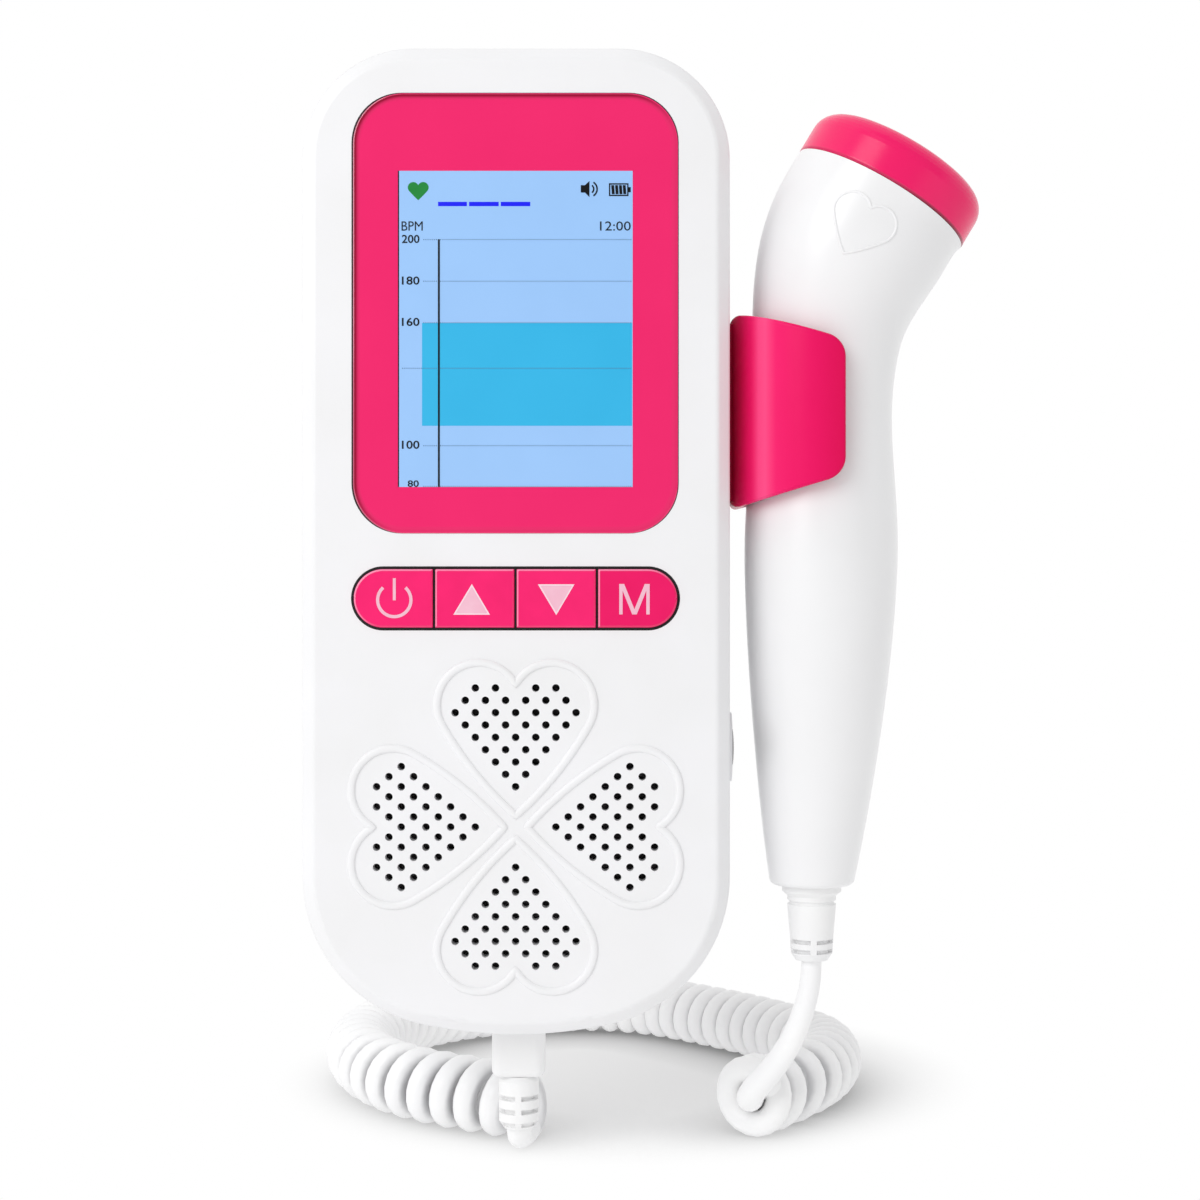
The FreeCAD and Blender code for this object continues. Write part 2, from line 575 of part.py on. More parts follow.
def front_openings():
    """Shapes to cut for the screen, its panel and the keys."""
    panel = rounded_block(SCREEN_PANEL_WIDTH + 2 * FIT, SCREEN_PANEL_HEIGHT + 2 * FIT, SCREEN_PANEL_R + FIT,
                          0, SCREEN_PANEL_CENTRE_Z, FRONT_Y - PASS, PANEL_BACK_Y)
    half_w = DISPLAY_WIDTH / 2 + DISPLAY_MARGIN
    half_h = DISPLAY_HEIGHT / 2 + DISPLAY_MARGIN
    low, high = DISPLAY_CENTRE_Z - half_h, DISPLAY_CENTRE_Z + half_h
    window = box(-half_w, half_w, FRONT_Y - PASS, PARTING_Y, low, high)
    keys = stadium(KEY_SLOT_WIDTH, KEY_SLOT_HEIGHT, 0, KEY_ROW_Z, FRONT_Y - PASS, PARTING_Y)
    return [panel, window, keys]


def front_screw_holes():
    """Shapes to cut for the screws that end in the front shell or pass its side wall."""
    holes = []
    for x, z in bosses():
        holes.append(rod(CASE_SCREW_R + SCREW_HOLE_GAP, V(x, PARTING_Y - CASE_SCREW_LENGTH, z),
                         V(x, PARTING_Y + PASS, z)))
    for x, z in pcb_posts():
        holes.append(rod(SMALL_SCREW_R + SCREW_HOLE_GAP, V(x, INNER_FRONT_Y, z), V(x, PCB_FRONT_Y + PASS, z)))
    for z in clip_screw_heights():
        holes.append(rod(CLIP_SCREW_R + CLIP_SCREW_GAP, V(HALF_W - SIDE_WALL - PASS, MID_Y, z),
                         V(HALF_W + PASS, MID_Y, z)))
    return holes


def front_shell():
    """Front half of the case, with every opening in it."""
    side, end = HALF_W + PASS, HALF_H + PASS
    shell = case_block().cut(box(-side, side, PARTING_Y, PASS, -end, end))
    shell = shell.cut(prism(case_edges(SIDE_WALL), INNER_FRONT_Y, 0.0))
    shell = shell.fuse(shell_posts() + [jack_pad()] + heart_ridges())
    cuts = speaker_holes() + front_openings() + front_screw_holes()
    cuts.append(rod(JACK_RING_R + JACK_RING_GAP, V(HALF_W - SIDE_WALL - PASS, JACK_Y, JACK_Z),
                    V(HALF_W + JACK_PAD_HEIGHT + PASS, JACK_Y, JACK_Z)))
    cuts.append(plug_tongue_block(FIT, CASE_BOTTOM_Z - PASS, CASE_BOTTOM_Z + SIDE_WALL + PASS))
    return shell.cut(cuts)


def plug_tongue_block(gap, z0, z1):
    """Block of the plug tongue's section, wider by a gap all round."""
    half_w = PLUG_TONGUE_WIDTH / 2 + gap
    half_d = PLUG_TONGUE_DEPTH / 2 + gap
    return box(PLUG_X - half_w, PLUG_X + half_w, MID_Y - half_d, MID_Y + half_d, z0, z1)


def door_plate(gap):
    """The battery door's plate, larger by a gap and open towards the case's lower end."""
    half_w = DOOR_WIDTH / 2 + gap
    return box(-half_w, half_w, -DOOR_THICKNESS - gap / 2, PASS, DOOR_TOP_Z + gap, -HALF_H - PASS)


def door_tab_heights():
    """Middle heights of the door's side tabs, along the battery bay."""
    step = BAY_LENGTH / DOOR_TAB_COUNT
    return [BAY_TOP_Z - step * (i + DOOR_TAB_PLACE) for i in range(DOOR_TAB_COUNT)]


def door_tabs(gap, drop, outward):
    """Tabs at both sides of the door, larger by a gap and lower by a drop."""
    half_w = DOOR_WIDTH / 2 + DOOR_TAB_REACH + gap
    front = -DOOR_THICKNESS - gap / 2
    back = -DOOR_THICKNESS + DOOR_TAB_THICKNESS + outward
    tabs = []
    for z in door_tab_heights():
        top = z + DOOR_TAB_LENGTH / 2 + gap
        bottom = z - DOOR_TAB_LENGTH / 2 - gap - drop
        tabs.append(box(-half_w, half_w, front, back, top, bottom))
    return tabs


def shell_lip():
    """Lip of the rear shell that stands inside the front shell, with its foot on the wall."""
    inner = SIDE_WALL + FIT + LIP_THICKNESS
    lip = prism(case_edges(SIDE_WALL + FIT), PARTING_Y - LIP_HEIGHT, PARTING_Y + PASS)
    lip = lip.cut(prism(case_edges(inner), PARTING_Y - LIP_HEIGHT - PASS, 0.0))
    foot = prism(case_edges(SIDE_WALL - OVERLAP), PARTING_Y, PARTING_Y + PASS)
    foot = foot.cut(prism(case_edges(inner), PARTING_Y - PASS, 0.0))
    low = PARTING_Y - LIP_HEIGHT - PASS
    clear = [rod(BOSS_R + FIT, V(x, low, z), V(x, PARTING_Y, z)) for x, z in bosses()]
    half_room = SOCKET_ROOM[0] / 2
    clear.append(box(PLUG_X - half_room, PLUG_X + half_room, low, PARTING_Y, -HALF_H, -HALF_H + SOCKET_ROOM[1]))
    return [lip.cut(clear), foot]


def door_track():
    """Shapes to cut for the door, its tabs' travel and the notches where the tabs come out."""
    track = [door_plate(SLIDE_FIT)]
    track.extend(door_tabs(SLIDE_FIT, DOOR_TRAVEL, SLIDE_FIT / 2))
    for notch in door_tabs(SLIDE_FIT, 0.0, DOOR_THICKNESS):
        notch.translate(V(0, 0, -DOOR_TRAVEL))
        track.append(notch)
    return track


def rear_shell():
    """Rear half of the case with the battery tray, screw posts and the door's rails."""
    shell = case_block().cut(box(-HALF_W - PASS, HALF_W + PASS, FRONT_Y - PASS, PARTING_Y, -HALF_H - PASS,
                                 HALF_H + PASS))
    shell = shell.cut(prism(case_edges(SIDE_WALL), FRONT_Y, -BACK_WALL))
    half_bay = BAY_WIDTH / 2 + TRAY_WALL
    tray = box(-half_bay, half_bay, BAY_FRONT_Y - TRAY_WALL, -BACK_WALL + OVERLAP, BAY_BOTTOM_Z - TRAY_WALL,
               BAY_TOP_Z + TRAY_WALL)
    posts = [rod(BOSS_R, V(x, PARTING_Y, z), V(x, -BACK_WALL + OVERLAP, z)) for x, z in bosses()]
    shell = shell.fuse(shell_lip() + [tray] + posts)
    cuts = [box(-BAY_WIDTH / 2, BAY_WIDTH / 2, BAY_FRONT_Y, PASS, BAY_BOTTOM_Z, BAY_TOP_Z)]
    cuts.extend(door_track())
    for x, z in bosses():
        cuts.append(rod(CASE_SCREW_R + SCREW_PASS_GAP, V(x, PARTING_Y - PASS, z), V(x, PASS, z)))
        cuts.append(rod(CASE_SCREW_HEAD_R + SCREW_PASS_GAP, V(x, -BACK_WALL - CASE_SCREW_SEAT, z), V(x, PASS, z)))
    return shell.cut(cuts)


def battery_door():
    """Sliding battery door; its lower end follows the case's rounded edge."""
    door = door_plate(0.0).common(case_block()).fuse(door_tabs(0.0, 0.0, 0.0))
    width, depth = DOOR_GRIP_SIZE
    grips = []
    for i in range(DOOR_GRIP_COUNT):
        z = DOOR_TOP_Z - DOOR_GRIP_DROP - DOOR_GRIP_PITCH * i
        grips.append(box(-DOOR_GRIP_LENGTH / 2, DOOR_GRIP_LENGTH / 2, -depth, PASS, z - width / 2, z + width / 2))
    return door.cut(grips)


def case_screw(x, z):
    """One case screw, in from the back."""
    seat_y = -BACK_WALL - CASE_SCREW_SEAT
    recess_y = seat_y + CASE_SCREW_HEAD_HEIGHT - CASE_SCREW_CROSS_DEPTH
    screw = rod(CASE_SCREW_R, V(x, PARTING_Y - CASE_SCREW_LENGTH + CASE_SCREW_TIP_GAP, z), V(x, seat_y, z))
    screw = screw.fuse(rod(CASE_SCREW_HEAD_R, V(x, seat_y, z), V(x, seat_y + CASE_SCREW_HEAD_HEIGHT, z)))
    long, short = CASE_SCREW_CROSS
    for half_x, half_z in ((long / 2, short / 2), (short / 2, long / 2)):
        screw = screw.cut(box(x - half_x, x + half_x, recess_y, 0, z - half_z, z + half_z))
    return screw


# ---------------------------------------------------------------- display and keys
def screen_panel():
    """Clear front panel, printed around the display."""
    panel = rounded_block(SCREEN_PANEL_WIDTH, SCREEN_PANEL_HEIGHT, SCREEN_PANEL_R, 0, SCREEN_PANEL_CENTRE_Z,
                          PANEL_FRONT_Y, PANEL_BACK_Y)
    return panel.makeFillet(SCREEN_PANEL_EDGE_R, edges_at_y(panel, PANEL_FRONT_Y))


def display_frame(border, hole_margin, y0, y1):
    """Rectangular frame around the display."""
    half_w = DISPLAY_WIDTH / 2
    half_h = DISPLAY_HEIGHT / 2
    outer = box(-half_w - border, half_w + border, y0, y1, DISPLAY_CENTRE_Z - half_h - border,
                DISPLAY_CENTRE_Z + half_h + border)
    inner = box(-half_w - hole_margin, half_w + hole_margin, y0 - PASS, y1 + PASS,
                DISPLAY_CENTRE_Z - half_h - hole_margin, DISPLAY_CENTRE_Z + half_h + hole_margin)
    return outer.cut(inner)


def lcd_module():
    """Display module: a backlight tray with its glass standing in the case's window."""
    half_w = DISPLAY_WIDTH / 2
    half_h = DISPLAY_HEIGHT / 2
    margin = DISPLAY_MARGIN - 2 * FIT
    tray = box(-half_w - LCD_BORDER, half_w + LCD_BORDER, GASKET_BACK_Y, LCD_BACK_Y,
               DISPLAY_CENTRE_Z - half_h - LCD_BORDER, DISPLAY_CENTRE_Z + half_h + LCD_BORDER)
    glass = box(-half_w - margin, half_w + margin, PANEL_BACK_Y + FIT, GASKET_BACK_Y + GLASS_OVERLAP,
                DISPLAY_CENTRE_Z - half_h - margin, DISPLAY_CENTRE_Z + half_h + margin)
    return tray.fuse(glass)


def display_ribbon():
    """Flat ribbon from the display's lower edge to the circuit board."""
    half_w = RIBBON_WIDTH / 2
    front = LCD_BACK_Y - RIBBON_INSET - RIBBON_THICKNESS
    top = DISPLAY_CENTRE_Z - DISPLAY_HEIGHT / 2 - LCD_BORDER
    bend = top - RIBBON_BEND
    out = box(-half_w, half_w, front, front + RIBBON_THICKNESS, bend, top)
    back = box(-half_w, half_w, front, PCB_FRONT_Y, bend - RIBBON_THICKNESS, bend)
    return out.fuse(back)


def key_left(index):
    """Left side of one key."""
    return -KEY_SLOT_WIDTH / 2 + KEY_GAP + index * KEY_PITCH


def key_block(index, y0, y1):
    """One key's outline: a share of the row, inside the slot's rounded ends."""
    row = stadium(KEY_SLOT_WIDTH - 2 * KEY_GAP, KEY_SLOT_HEIGHT - 2 * KEY_GAP, 0, KEY_ROW_Z, y0, y1)
    left = key_left(index)
    share = box(left, left + KEY_PITCH - KEY_GAP, y0 - PASS, y1 + PASS, KEY_ROW_Z - KEY_SLOT_HEIGHT,
                KEY_ROW_Z + KEY_SLOT_HEIGHT)
    return row.common(share)


def key_button(index):
    """One push button with the flange that keeps it in the case."""
    front = FRONT_Y - KEY_PROUD
    top = key_block(index, front, KEY_BACK_Y)
    top = top.makeFillet(KEY_EDGE_R, edges_at_y(top, front))
    left = key_left(index)
    half = KEY_SLOT_HEIGHT / 2 + KEY_FLANGE
    flange = box(left, left + KEY_PITCH - KEY_GAP, KEY_FLANGE_FRONT_Y, KEY_BACK_Y, KEY_ROW_Z - half,
                 KEY_ROW_Z + half)
    return top.fuse(flange).removeSplitter()


def keypad_membrane():
    """Rubber sheet between the keys and their switches."""
    half_w = KEY_SLOT_WIDTH / 2 - MEMBRANE_SIDE_INSET
    half_h = KEY_SLOT_HEIGHT / 2 + KEY_FLANGE - MEMBRANE_END_INSET
    return box(-half_w, half_w, MEMBRANE_FRONT_Y, MEMBRANE_BACK_Y, KEY_ROW_Z - half_h, KEY_ROW_Z + half_h)


def tact_switch(index):
    """One switch under its key."""
    x = key_left(index) + (KEY_PITCH - KEY_GAP) / 2
    half = SWITCH_SIZE / 2
    front = MEMBRANE_BACK_Y + SWITCH_STEM_HEIGHT
    body = box(x - half, x + half, front, PCB_FRONT_Y, KEY_ROW_Z - half, KEY_ROW_Z + half)
    return body.fuse(rod(SWITCH_STEM_R, V(x, MEMBRANE_BACK_Y, KEY_ROW_Z), V(x, PCB_FRONT_Y, KEY_ROW_Z)))


# ---------------------------------------------------------------- electronics
def main_board():
    """Circuit board on the front shell's posts."""
    board = box(-PCB_WIDTH / 2, PCB_WIDTH / 2, PCB_FRONT_Y, PCB_BACK_Y, PCB_BOTTOM_Z, PCB_TOP_Z)
    holes = []
    for x, z in pcb_posts():
        holes.append(rod(SMALL_SCREW_R + SCREW_PASS_GAP, V(x, PCB_FRONT_Y - PASS, z), V(x, PCB_BACK_Y + PASS, z)))
    return board.cut(holes)


def board_chips():
    """The larger components on the board's back: one solid each."""
    chips = []
    for x, drop, width, height in CHIPS:
        z = PCB_TOP_Z - drop
        chips.append(box(x - width / 2, x + width / 2, PCB_BACK_Y, PCB_BACK_Y + CHIP_THICKNESS, z - height / 2,
                         z + height / 2))
    return Part.makeCompound(chips)


def board_screw(x, z):
    """One screw that holds the board to its post."""
    shank = rod(SMALL_SCREW_R, V(x, PCB_FRONT_Y - SMALL_SCREW_GRIP, z), V(x, PCB_BACK_Y, z))
    head = rod(SMALL_SCREW_HEAD_R, V(x, PCB_BACK_Y, z), V(x, PCB_BACK_Y + SMALL_SCREW_HEAD_HEIGHT, z))
    return shank.fuse(head)


def speaker_disc(outer, inner, from_y, to_y):
    """Disc, or a ring where inner isn't 0, on the clover's axis."""
    start, end = V(0, from_y, CLOVER_Z), V(0, to_y, CLOVER_Z)
    return tube(outer, inner, start, end) if inner else rod(outer, start, end)


def speaker_cloth():
    """Thin dust cloth glued behind the sound holes."""
    return speaker_disc(SPEAKER_CLOTH_R, 0, INNER_FRONT_Y, SPEAKER_FRONT_Y)


def speaker_frame():
    """The loudspeaker's basket."""
    rim_back = SPEAKER_FRONT_Y + SPEAKER_RIM_HEIGHT
    rim = speaker_disc(SPEAKER_R, SPEAKER_R - SPEAKER_RIM_WIDTH, SPEAKER_FRONT_Y, rim_back)
    back = speaker_disc(SPEAKER_R - SPEAKER_BACK_INSET, MAGNET_R - SPEAKER_BACK_OVERLAP, rim_back,
                        rim_back + SPEAKER_BACK_THICKNESS)
    return rim.fuse(back)


def speaker_cone():
    """Paper cone seated in the basket's rim."""
    front = SPEAKER_FRONT_Y + CONE_DROP
    return speaker_disc(SPEAKER_R - SPEAKER_RIM_WIDTH, 0, front, front + CONE_THICKNESS)


def speaker_magnet():
    """Magnet behind the basket."""
    front = SPEAKER_FRONT_Y + SPEAKER_RIM_HEIGHT + SPEAKER_BACK_THICKNESS
    return speaker_disc(MAGNET_R, 0, front, SPEAKER_FRONT_Y + SPEAKER_DEPTH)


def battery(side):
    """One AA cell; the left one points up and the right one down."""
    up = V(0, 0, -side)
    contact_z = BAY_TOP_Z - CONTACT_THICKNESS if side < 0 else BAY_BOTTOM_Z + CONTACT_THICKNESS
    tip = V(side * BATTERY_PITCH / 2, BATTERY_Y, contact_z)
    shoulder = tip - up * BATTERY_NUB_LENGTH
    nub = rod(BATTERY_NUB_R, shoulder, tip)
    return rod(BATTERY_R, tip - up * BATTERY_LENGTH, shoulder).fuse(nub)


def contact_plate(left, right, z):
    """Contact plate across the bay's depth, from one x to another."""
    half = CONTACT_WIDTH / 2
    return box(left, right, BATTERY_Y - half, BATTERY_Y + half, z, z + CONTACT_THICKNESS)


def battery_contact_top():
    """Plate that links both cells at the top of the bay, with the right cell's spring."""
    half_w = BAY_WIDTH / 2 - CONTACT_INSET
    bottom = BAY_TOP_Z - CONTACT_THICKNESS
    return contact_plate(-half_w, half_w, bottom).fuse(contact_spring(BATTERY_PITCH / 2, bottom, -1))


def battery_contact_bottom(side):
    """Single plate at the bottom of the bay: with a spring under the left cell, flat under the right one."""
    x = side * BATTERY_PITCH / 2
    plate = contact_plate(x - CONTACT_WIDTH / 2, x + CONTACT_WIDTH / 2, BAY_BOTTOM_Z)
    if side > 0:
        return plate
    return plate.fuse(contact_spring(x, BAY_BOTTOM_Z + CONTACT_THICKNESS, 1))


def contact_spring(x, z, sign):
    """Conical spring of a battery contact, as a thin cone of its outer shape."""
    base = V(x, BATTERY_Y, z)
    outer = Part.makeCone(SPRING_BASE_R, SPRING_TIP_R, SPRING_LENGTH, base, V(0, 0, sign))
    inner = Part.makeCone(SPRING_BASE_R - SPRING_WALL, SPRING_TIP_R - SPRING_WALL, SPRING_LENGTH, base,
                          V(0, 0, sign))
    return outer.cut(inner)


def earphone_jack():
    """Earphone socket: a moulded body inside and its ring through the side wall."""
    length, depth, height = JACK_BODY
    end_x = HALF_W + JACK_PROUD
    inner_x = HALF_W - SIDE_WALL - FIT
    body = box(inner_x - length, inner_x, JACK_Y - depth / 2, JACK_Y + depth / 2, JACK_Z - height / 2,
               JACK_Z + height / 2)
    ring = rod(JACK_RING_R, V(inner_x - OVERLAP, JACK_Y, JACK_Z), V(end_x, JACK_Y, JACK_Z))
    bore = rod(JACK_BORE_R, V(end_x - JACK_BORE_LENGTH, JACK_Y, JACK_Z), V(end_x + PASS, JACK_Y, JACK_Z))
    return body.fuse(ring).cut(bore)


def probe_socket():
    """Socket behind the bottom wall that takes the plug's tongue."""
    bottom = CASE_BOTTOM_Z + SIDE_WALL + FIT
    inner_top = PLUG_TOP_Z + PLUG_TONGUE_LENGTH + SOCKET_END_GAP
    body = plug_tongue_block(FIT + SOCKET_WALL, bottom, inner_top + SOCKET_END_WALL)
    return body.cut(plug_tongue_block(FIT, bottom - PASS, inner_top))


# ---------------------------------------------------------------- clip
def clip_screw_heights():
    """Heights of the two screws that hold the clip."""
    return (CLIP_MID_Z - CLIP_SCREW_PITCH / 2, CLIP_MID_Z + CLIP_SCREW_PITCH / 2)


def clip_outline():
    """The clip's outline seen from the front, as a solid through its whole depth."""
    left = CLIP_X - CLIP_OUTER_R - ROUND_END_MARGIN
    right = CLIP_X + CLIP_JAW_LENGTH
    corners = [V(left, 0, CLIP_LEFT_BOTTOM_Z), V(right, 0, CLIP_RIGHT_BOTTOM_Z),
               V(right, 0, CLIP_RIGHT_TOP_Z), V(left, 0, CLIP_LEFT_TOP_Z)]
    face = Part.Face(Part.makePolygon(corners + [corners[0]]))
    face.translate(V(0, MID_Y - CLIP_OUTER_R - PASS, 0))
    block = face.extrude(V(0, 2 * (CLIP_OUTER_R + PASS), 0))
    for radius, x in ((CLIP_CORNER_R, right), (CLIP_LEFT_CORNER_R, left)):
        across = [e for e in block.Edges if e.BoundBox.YLength > CLIP_OUTER_R]
        block = block.makeFillet(radius, [e for e in across if e.BoundBox.XLength < ROUND_END_MARGIN
                                          and abs(e.Vertexes[0].X - x) < ROUND_END_MARGIN / 2])
    return block


def clip_rims(clip):
    """The edges round the clip's outside, apart from the smooth ones along its length."""
    rims = []
    for edge in clip.Edges:
        places = edge.discretize(RIM_PLACES)
        reaches = [math.hypot(min(place.x - CLIP_X, 0.0), place.y - MID_Y) for place in places]
        outside = min(reaches) > CLIP_OUTER_R - ROUND_END_MARGIN
        size = edge.BoundBox
        smooth = size.ZLength > CLIP_LEFT_HEIGHT / 2 and size.XMax < CLIP_X + CLIP_JAW_LENGTH / 2
        if outside and not smooth:
            rims.append(edge)
    return rims


def probe_clip():
    """C-shaped clip, open to the right, on the case's side wall."""
    low, high = CLIP_LEFT_BOTTOM_Z - PASS, CLIP_LEFT_TOP_Z + PASS
    reach = CLIP_OUTER_R + PASS
    sleeve = tube(CLIP_OUTER_R, CLIP_INNER_R, V(CLIP_X, MID_Y, low), V(CLIP_X, MID_Y, high))
    sleeve = sleeve.cut(box(CLIP_X, CLIP_X + reach, MID_Y - reach, MID_Y + reach, low - PASS, high + PASS))
    jaws = []
    for side in (-1, 1):
        jaws.append(box(CLIP_X, CLIP_X + CLIP_JAW_LENGTH, MID_Y + side * CLIP_INNER_R, MID_Y + side * CLIP_OUTER_R,
                        low, high))
    clip = sleeve.fuse(jaws).removeSplitter().common(clip_outline())
    clip = clip.makeFillet(CLIP_EDGE_R, clip_rims(clip))
    foot = box(HALF_W, CLIP_INSIDE_X - CLIP_SCREW_END, MID_Y - CLIP_FOOT_WIDTH / 2, MID_Y + CLIP_FOOT_WIDTH / 2,
               CLIP_LEFT_BOTTOM_Z + CLIP_FOOT_INSET, CLIP_LEFT_TOP_Z - CLIP_FOOT_INSET)
    holes = []
    for z in clip_screw_heights():
        holes.append(rod(CLIP_SCREW_R + SCREW_HOLE_GAP, V(HALF_W - PASS, MID_Y, z),
                         V(CLIP_INSIDE_X - CLIP_HOLE_END, MID_Y, z)))
    return clip.fuse(foot).cut(holes)


def clip_screw(z):
    """One screw from inside the case into the clip's foot."""
    head_x = HALF_W - SIDE_WALL
    shank = rod(CLIP_SCREW_R, V(head_x, MID_Y, z), V(CLIP_INSIDE_X - CLIP_SCREW_END, MID_Y, z))
    return shank.fuse(rod(CLIP_SCREW_HEAD_R, V(head_x - CLIP_SCREW_HEAD_HEIGHT, MID_Y, z), V(head_x, MID_Y, z)))


# ---------------------------------------------------------------- probe
def station_circle(station, inset):
    """Circle at one station of the probe's body."""
    x, z, radius, tilt = station
    angle = math.radians(tilt)
    return Part.Wire(Part.makeCircle(radius - inset, V(x, MID_Y, z), V(math.sin(angle), 0, math.cos(angle))))


def probe_body_block(inset, stations):
    """Smooth solid through the probe's stations."""
    return Part.makeLoft([station_circle(s, inset) for s in stations], True)


def probe_inner_end():
    """Station where the probe's hollow ends, an end wall above its last station."""
    last, before = PROBE_STATIONS[-1], PROBE_STATIONS[-2]
    share = PROBE_END_WALL / (before[1] - last[1])
    return tuple(value + (higher - value) * share for value, higher in zip(last, before))


def probe_slab(y0, y1, z0, z1):
    """Block wider than the probe, between two depths and two heights."""
    return box(CLIP_X - 2 * HEAD_R, CLIP_X + 3 * HEAD_R, y0, y1, z0, z1)


def probe_shell(side):
    """Front (-1) or rear (+1) half of the probe's body."""
    outer = probe_body_block(0.0, PROBE_STATIONS)
    end_edges = [e for e in outer.Edges if e.BoundBox.ZMax < PROBE_END_Z + PROBE_END_R / 2]
    outer = outer.makeFillet(PROBE_END_R, end_edges)
    inner = probe_body_block(PROBE_WALL, PROBE_STATIONS[:-1] + [probe_inner_end()])
    hole = rod(PROBE_RELIEF_HOLE_R + FIT, V(PROBE_END_X, MID_Y, PROBE_END_Z - PASS),
               V(PROBE_END_X, MID_Y, PROBE_END_Z + PROBE_END_WALL + PASS))
    shell = outer.cut([inner, hole])
    reach = 2 * HEAD_R
    ribs = []
    for z in PROBE_RIB_Z:
        slab = probe_slab(MID_Y - reach, MID_Y + reach, z, z + PROBE_RIB_THICKNESS)
        ribs.append(slab.common(probe_body_block(PROBE_WALL - PROBE_RIB_BITE, PROBE_STATIONS)))
    low, high = PROBE_END_Z - PASS, HEAD_Z + reach
    half_board = PROBE_BOARD_THICKNESS / 2
    board_slot = box(PROBE_BOARD_X - FIT, PROBE_BOARD_X + PROBE_BOARD_WIDTH + FIT, MID_Y - half_board,
                     MID_Y + half_board, low, high)
    return shell.fuse(ribs).cut(board_slot).common(probe_slab(MID_Y, MID_Y + side * reach, low, high))


def probe_cap():
    """Cap ring on the probe's head, with a spigot inside the shell."""
    straight = CAP_HEIGHT - CAP_EDGE_R
    profile = [(0.0, 0.0), (CAP_R - CAP_SEAM_BEVEL, 0.0), (CAP_R, CAP_SEAM_BEVEL), (CAP_R, straight)]
    for i in range(1, CAP_EDGE_STEPS + 1):
        angle = math.radians(90.0 * i / CAP_EDGE_STEPS)
        profile.append((CAP_R - CAP_EDGE_R + CAP_EDGE_R * math.cos(angle), straight + CAP_EDGE_R * math.sin(angle)))
    cap = revolved(profile + [(0.0, CAP_HEIGHT)], CAP_CENTRE, CAP_DIRECTION, V(0, 1, 0))
    spigot_r = HEAD_R - PROBE_WALL - CAP_SPIGOT_GAP
    cap = cap.fuse(rod(spigot_r, CAP_CENTRE - CAP_DIRECTION * CAP_SPIGOT_HEIGHT,
                       CAP_CENTRE + CAP_DIRECTION * PASS))
    lens_seat = CAP_CENTRE + CAP_DIRECTION * (CAP_HEIGHT - LENS_THICKNESS)
    cap = cap.cut(rod(LENS_R + FIT, lens_seat, lens_seat + CAP_DIRECTION * (LENS_THICKNESS + PASS)))
    room = CAP_CENTRE - CAP_DIRECTION * (CAP_SPIGOT_HEIGHT + PASS)
    return cap.cut(rod(PIEZO_R + PIEZO_GAP, room, lens_seat + CAP_DIRECTION * PASS))


def probe_stack(radius, from_top, height):
    """Disc inside the cap, measured down from the cap's face."""
    top = CAP_CENTRE + CAP_DIRECTION * (CAP_HEIGHT - from_top)
    return rod(radius, top - CAP_DIRECTION * height, top)


def probe_board():
    """Narrow circuit board along the probe's axis, held in the shell halves."""
    half = PROBE_BOARD_THICKNESS / 2
    return box(PROBE_BOARD_X, PROBE_BOARD_X + PROBE_BOARD_WIDTH, MID_Y - half, MID_Y + half,
               PROBE_RIB_Z[0] - PROBE_BOARD_ENDS[0], PROBE_RIB_Z[1] + PROBE_BOARD_ENDS[1])


def relief_slots(x, rows, inner_r, outer_r, height):
    """Rings with four ribs left between them, to cut from a strain relief."""
    half_rib = RELIEF_RIB_WIDTH / 2
    reach = outer_r + 2 * PASS
    cuts = []
    for z in rows:
        ring = tube(outer_r + PASS, inner_r, V(x, MID_Y, z - height / 2), V(x, MID_Y, z + height / 2))
        for half_x, half_y in ((half_rib, reach), (reach, half_rib)):
            ring = ring.cut(box(x - half_x, x + half_x, MID_Y - half_y, MID_Y + half_y, z - height, z + height))
        cuts.append(ring)
    return cuts


def probe_strain_relief():
    """Collar and flexible sleeve where the cord leaves the probe."""
    base = V(PROBE_END_X, MID_Y, PROBE_END_Z)
    relief = revolved(PROBE_RELIEF_PROFILE, base, V(0, 0, -1), V(0, 1, 0))
    relief = relief.fuse(rod(PROBE_RELIEF_HOLE_R, base, base + V(0, 0, PROBE_RELIEF_SHANK)))
    rows = [PROBE_END_Z - drop for drop in PROBE_RELIEF_ROWS]
    return relief.cut(relief_slots(PROBE_END_X, rows, *PROBE_RELIEF_SLOT))


# ---------------------------------------------------------------- plug and cord
def plug_body():
    """Moulded block of the plug."""
    body = box(PLUG_X - PLUG_WIDTH / 2, PLUG_X + PLUG_WIDTH / 2, MID_Y - PLUG_DEPTH / 2, MID_Y + PLUG_DEPTH / 2,
               PLUG_BOTTOM_Z, PLUG_TOP_Z)
    upright = [e for e in body.Edges if e.BoundBox.ZLength > PLUG_LENGTH / 2]
    body = body.makeFillet(PLUG_EDGE_R, upright)
    low = [e for e in body.Edges if e.BoundBox.ZMax < PLUG_BOTTOM_Z + PLUG_END_R / 2]
    return body.makeFillet(PLUG_END_R, low)


def plug_tongue():
    """Metal shell of the plug, in the socket."""
    return plug_tongue_block(0.0, PLUG_TOP_Z, PLUG_TOP_Z + PLUG_TONGUE_LENGTH)


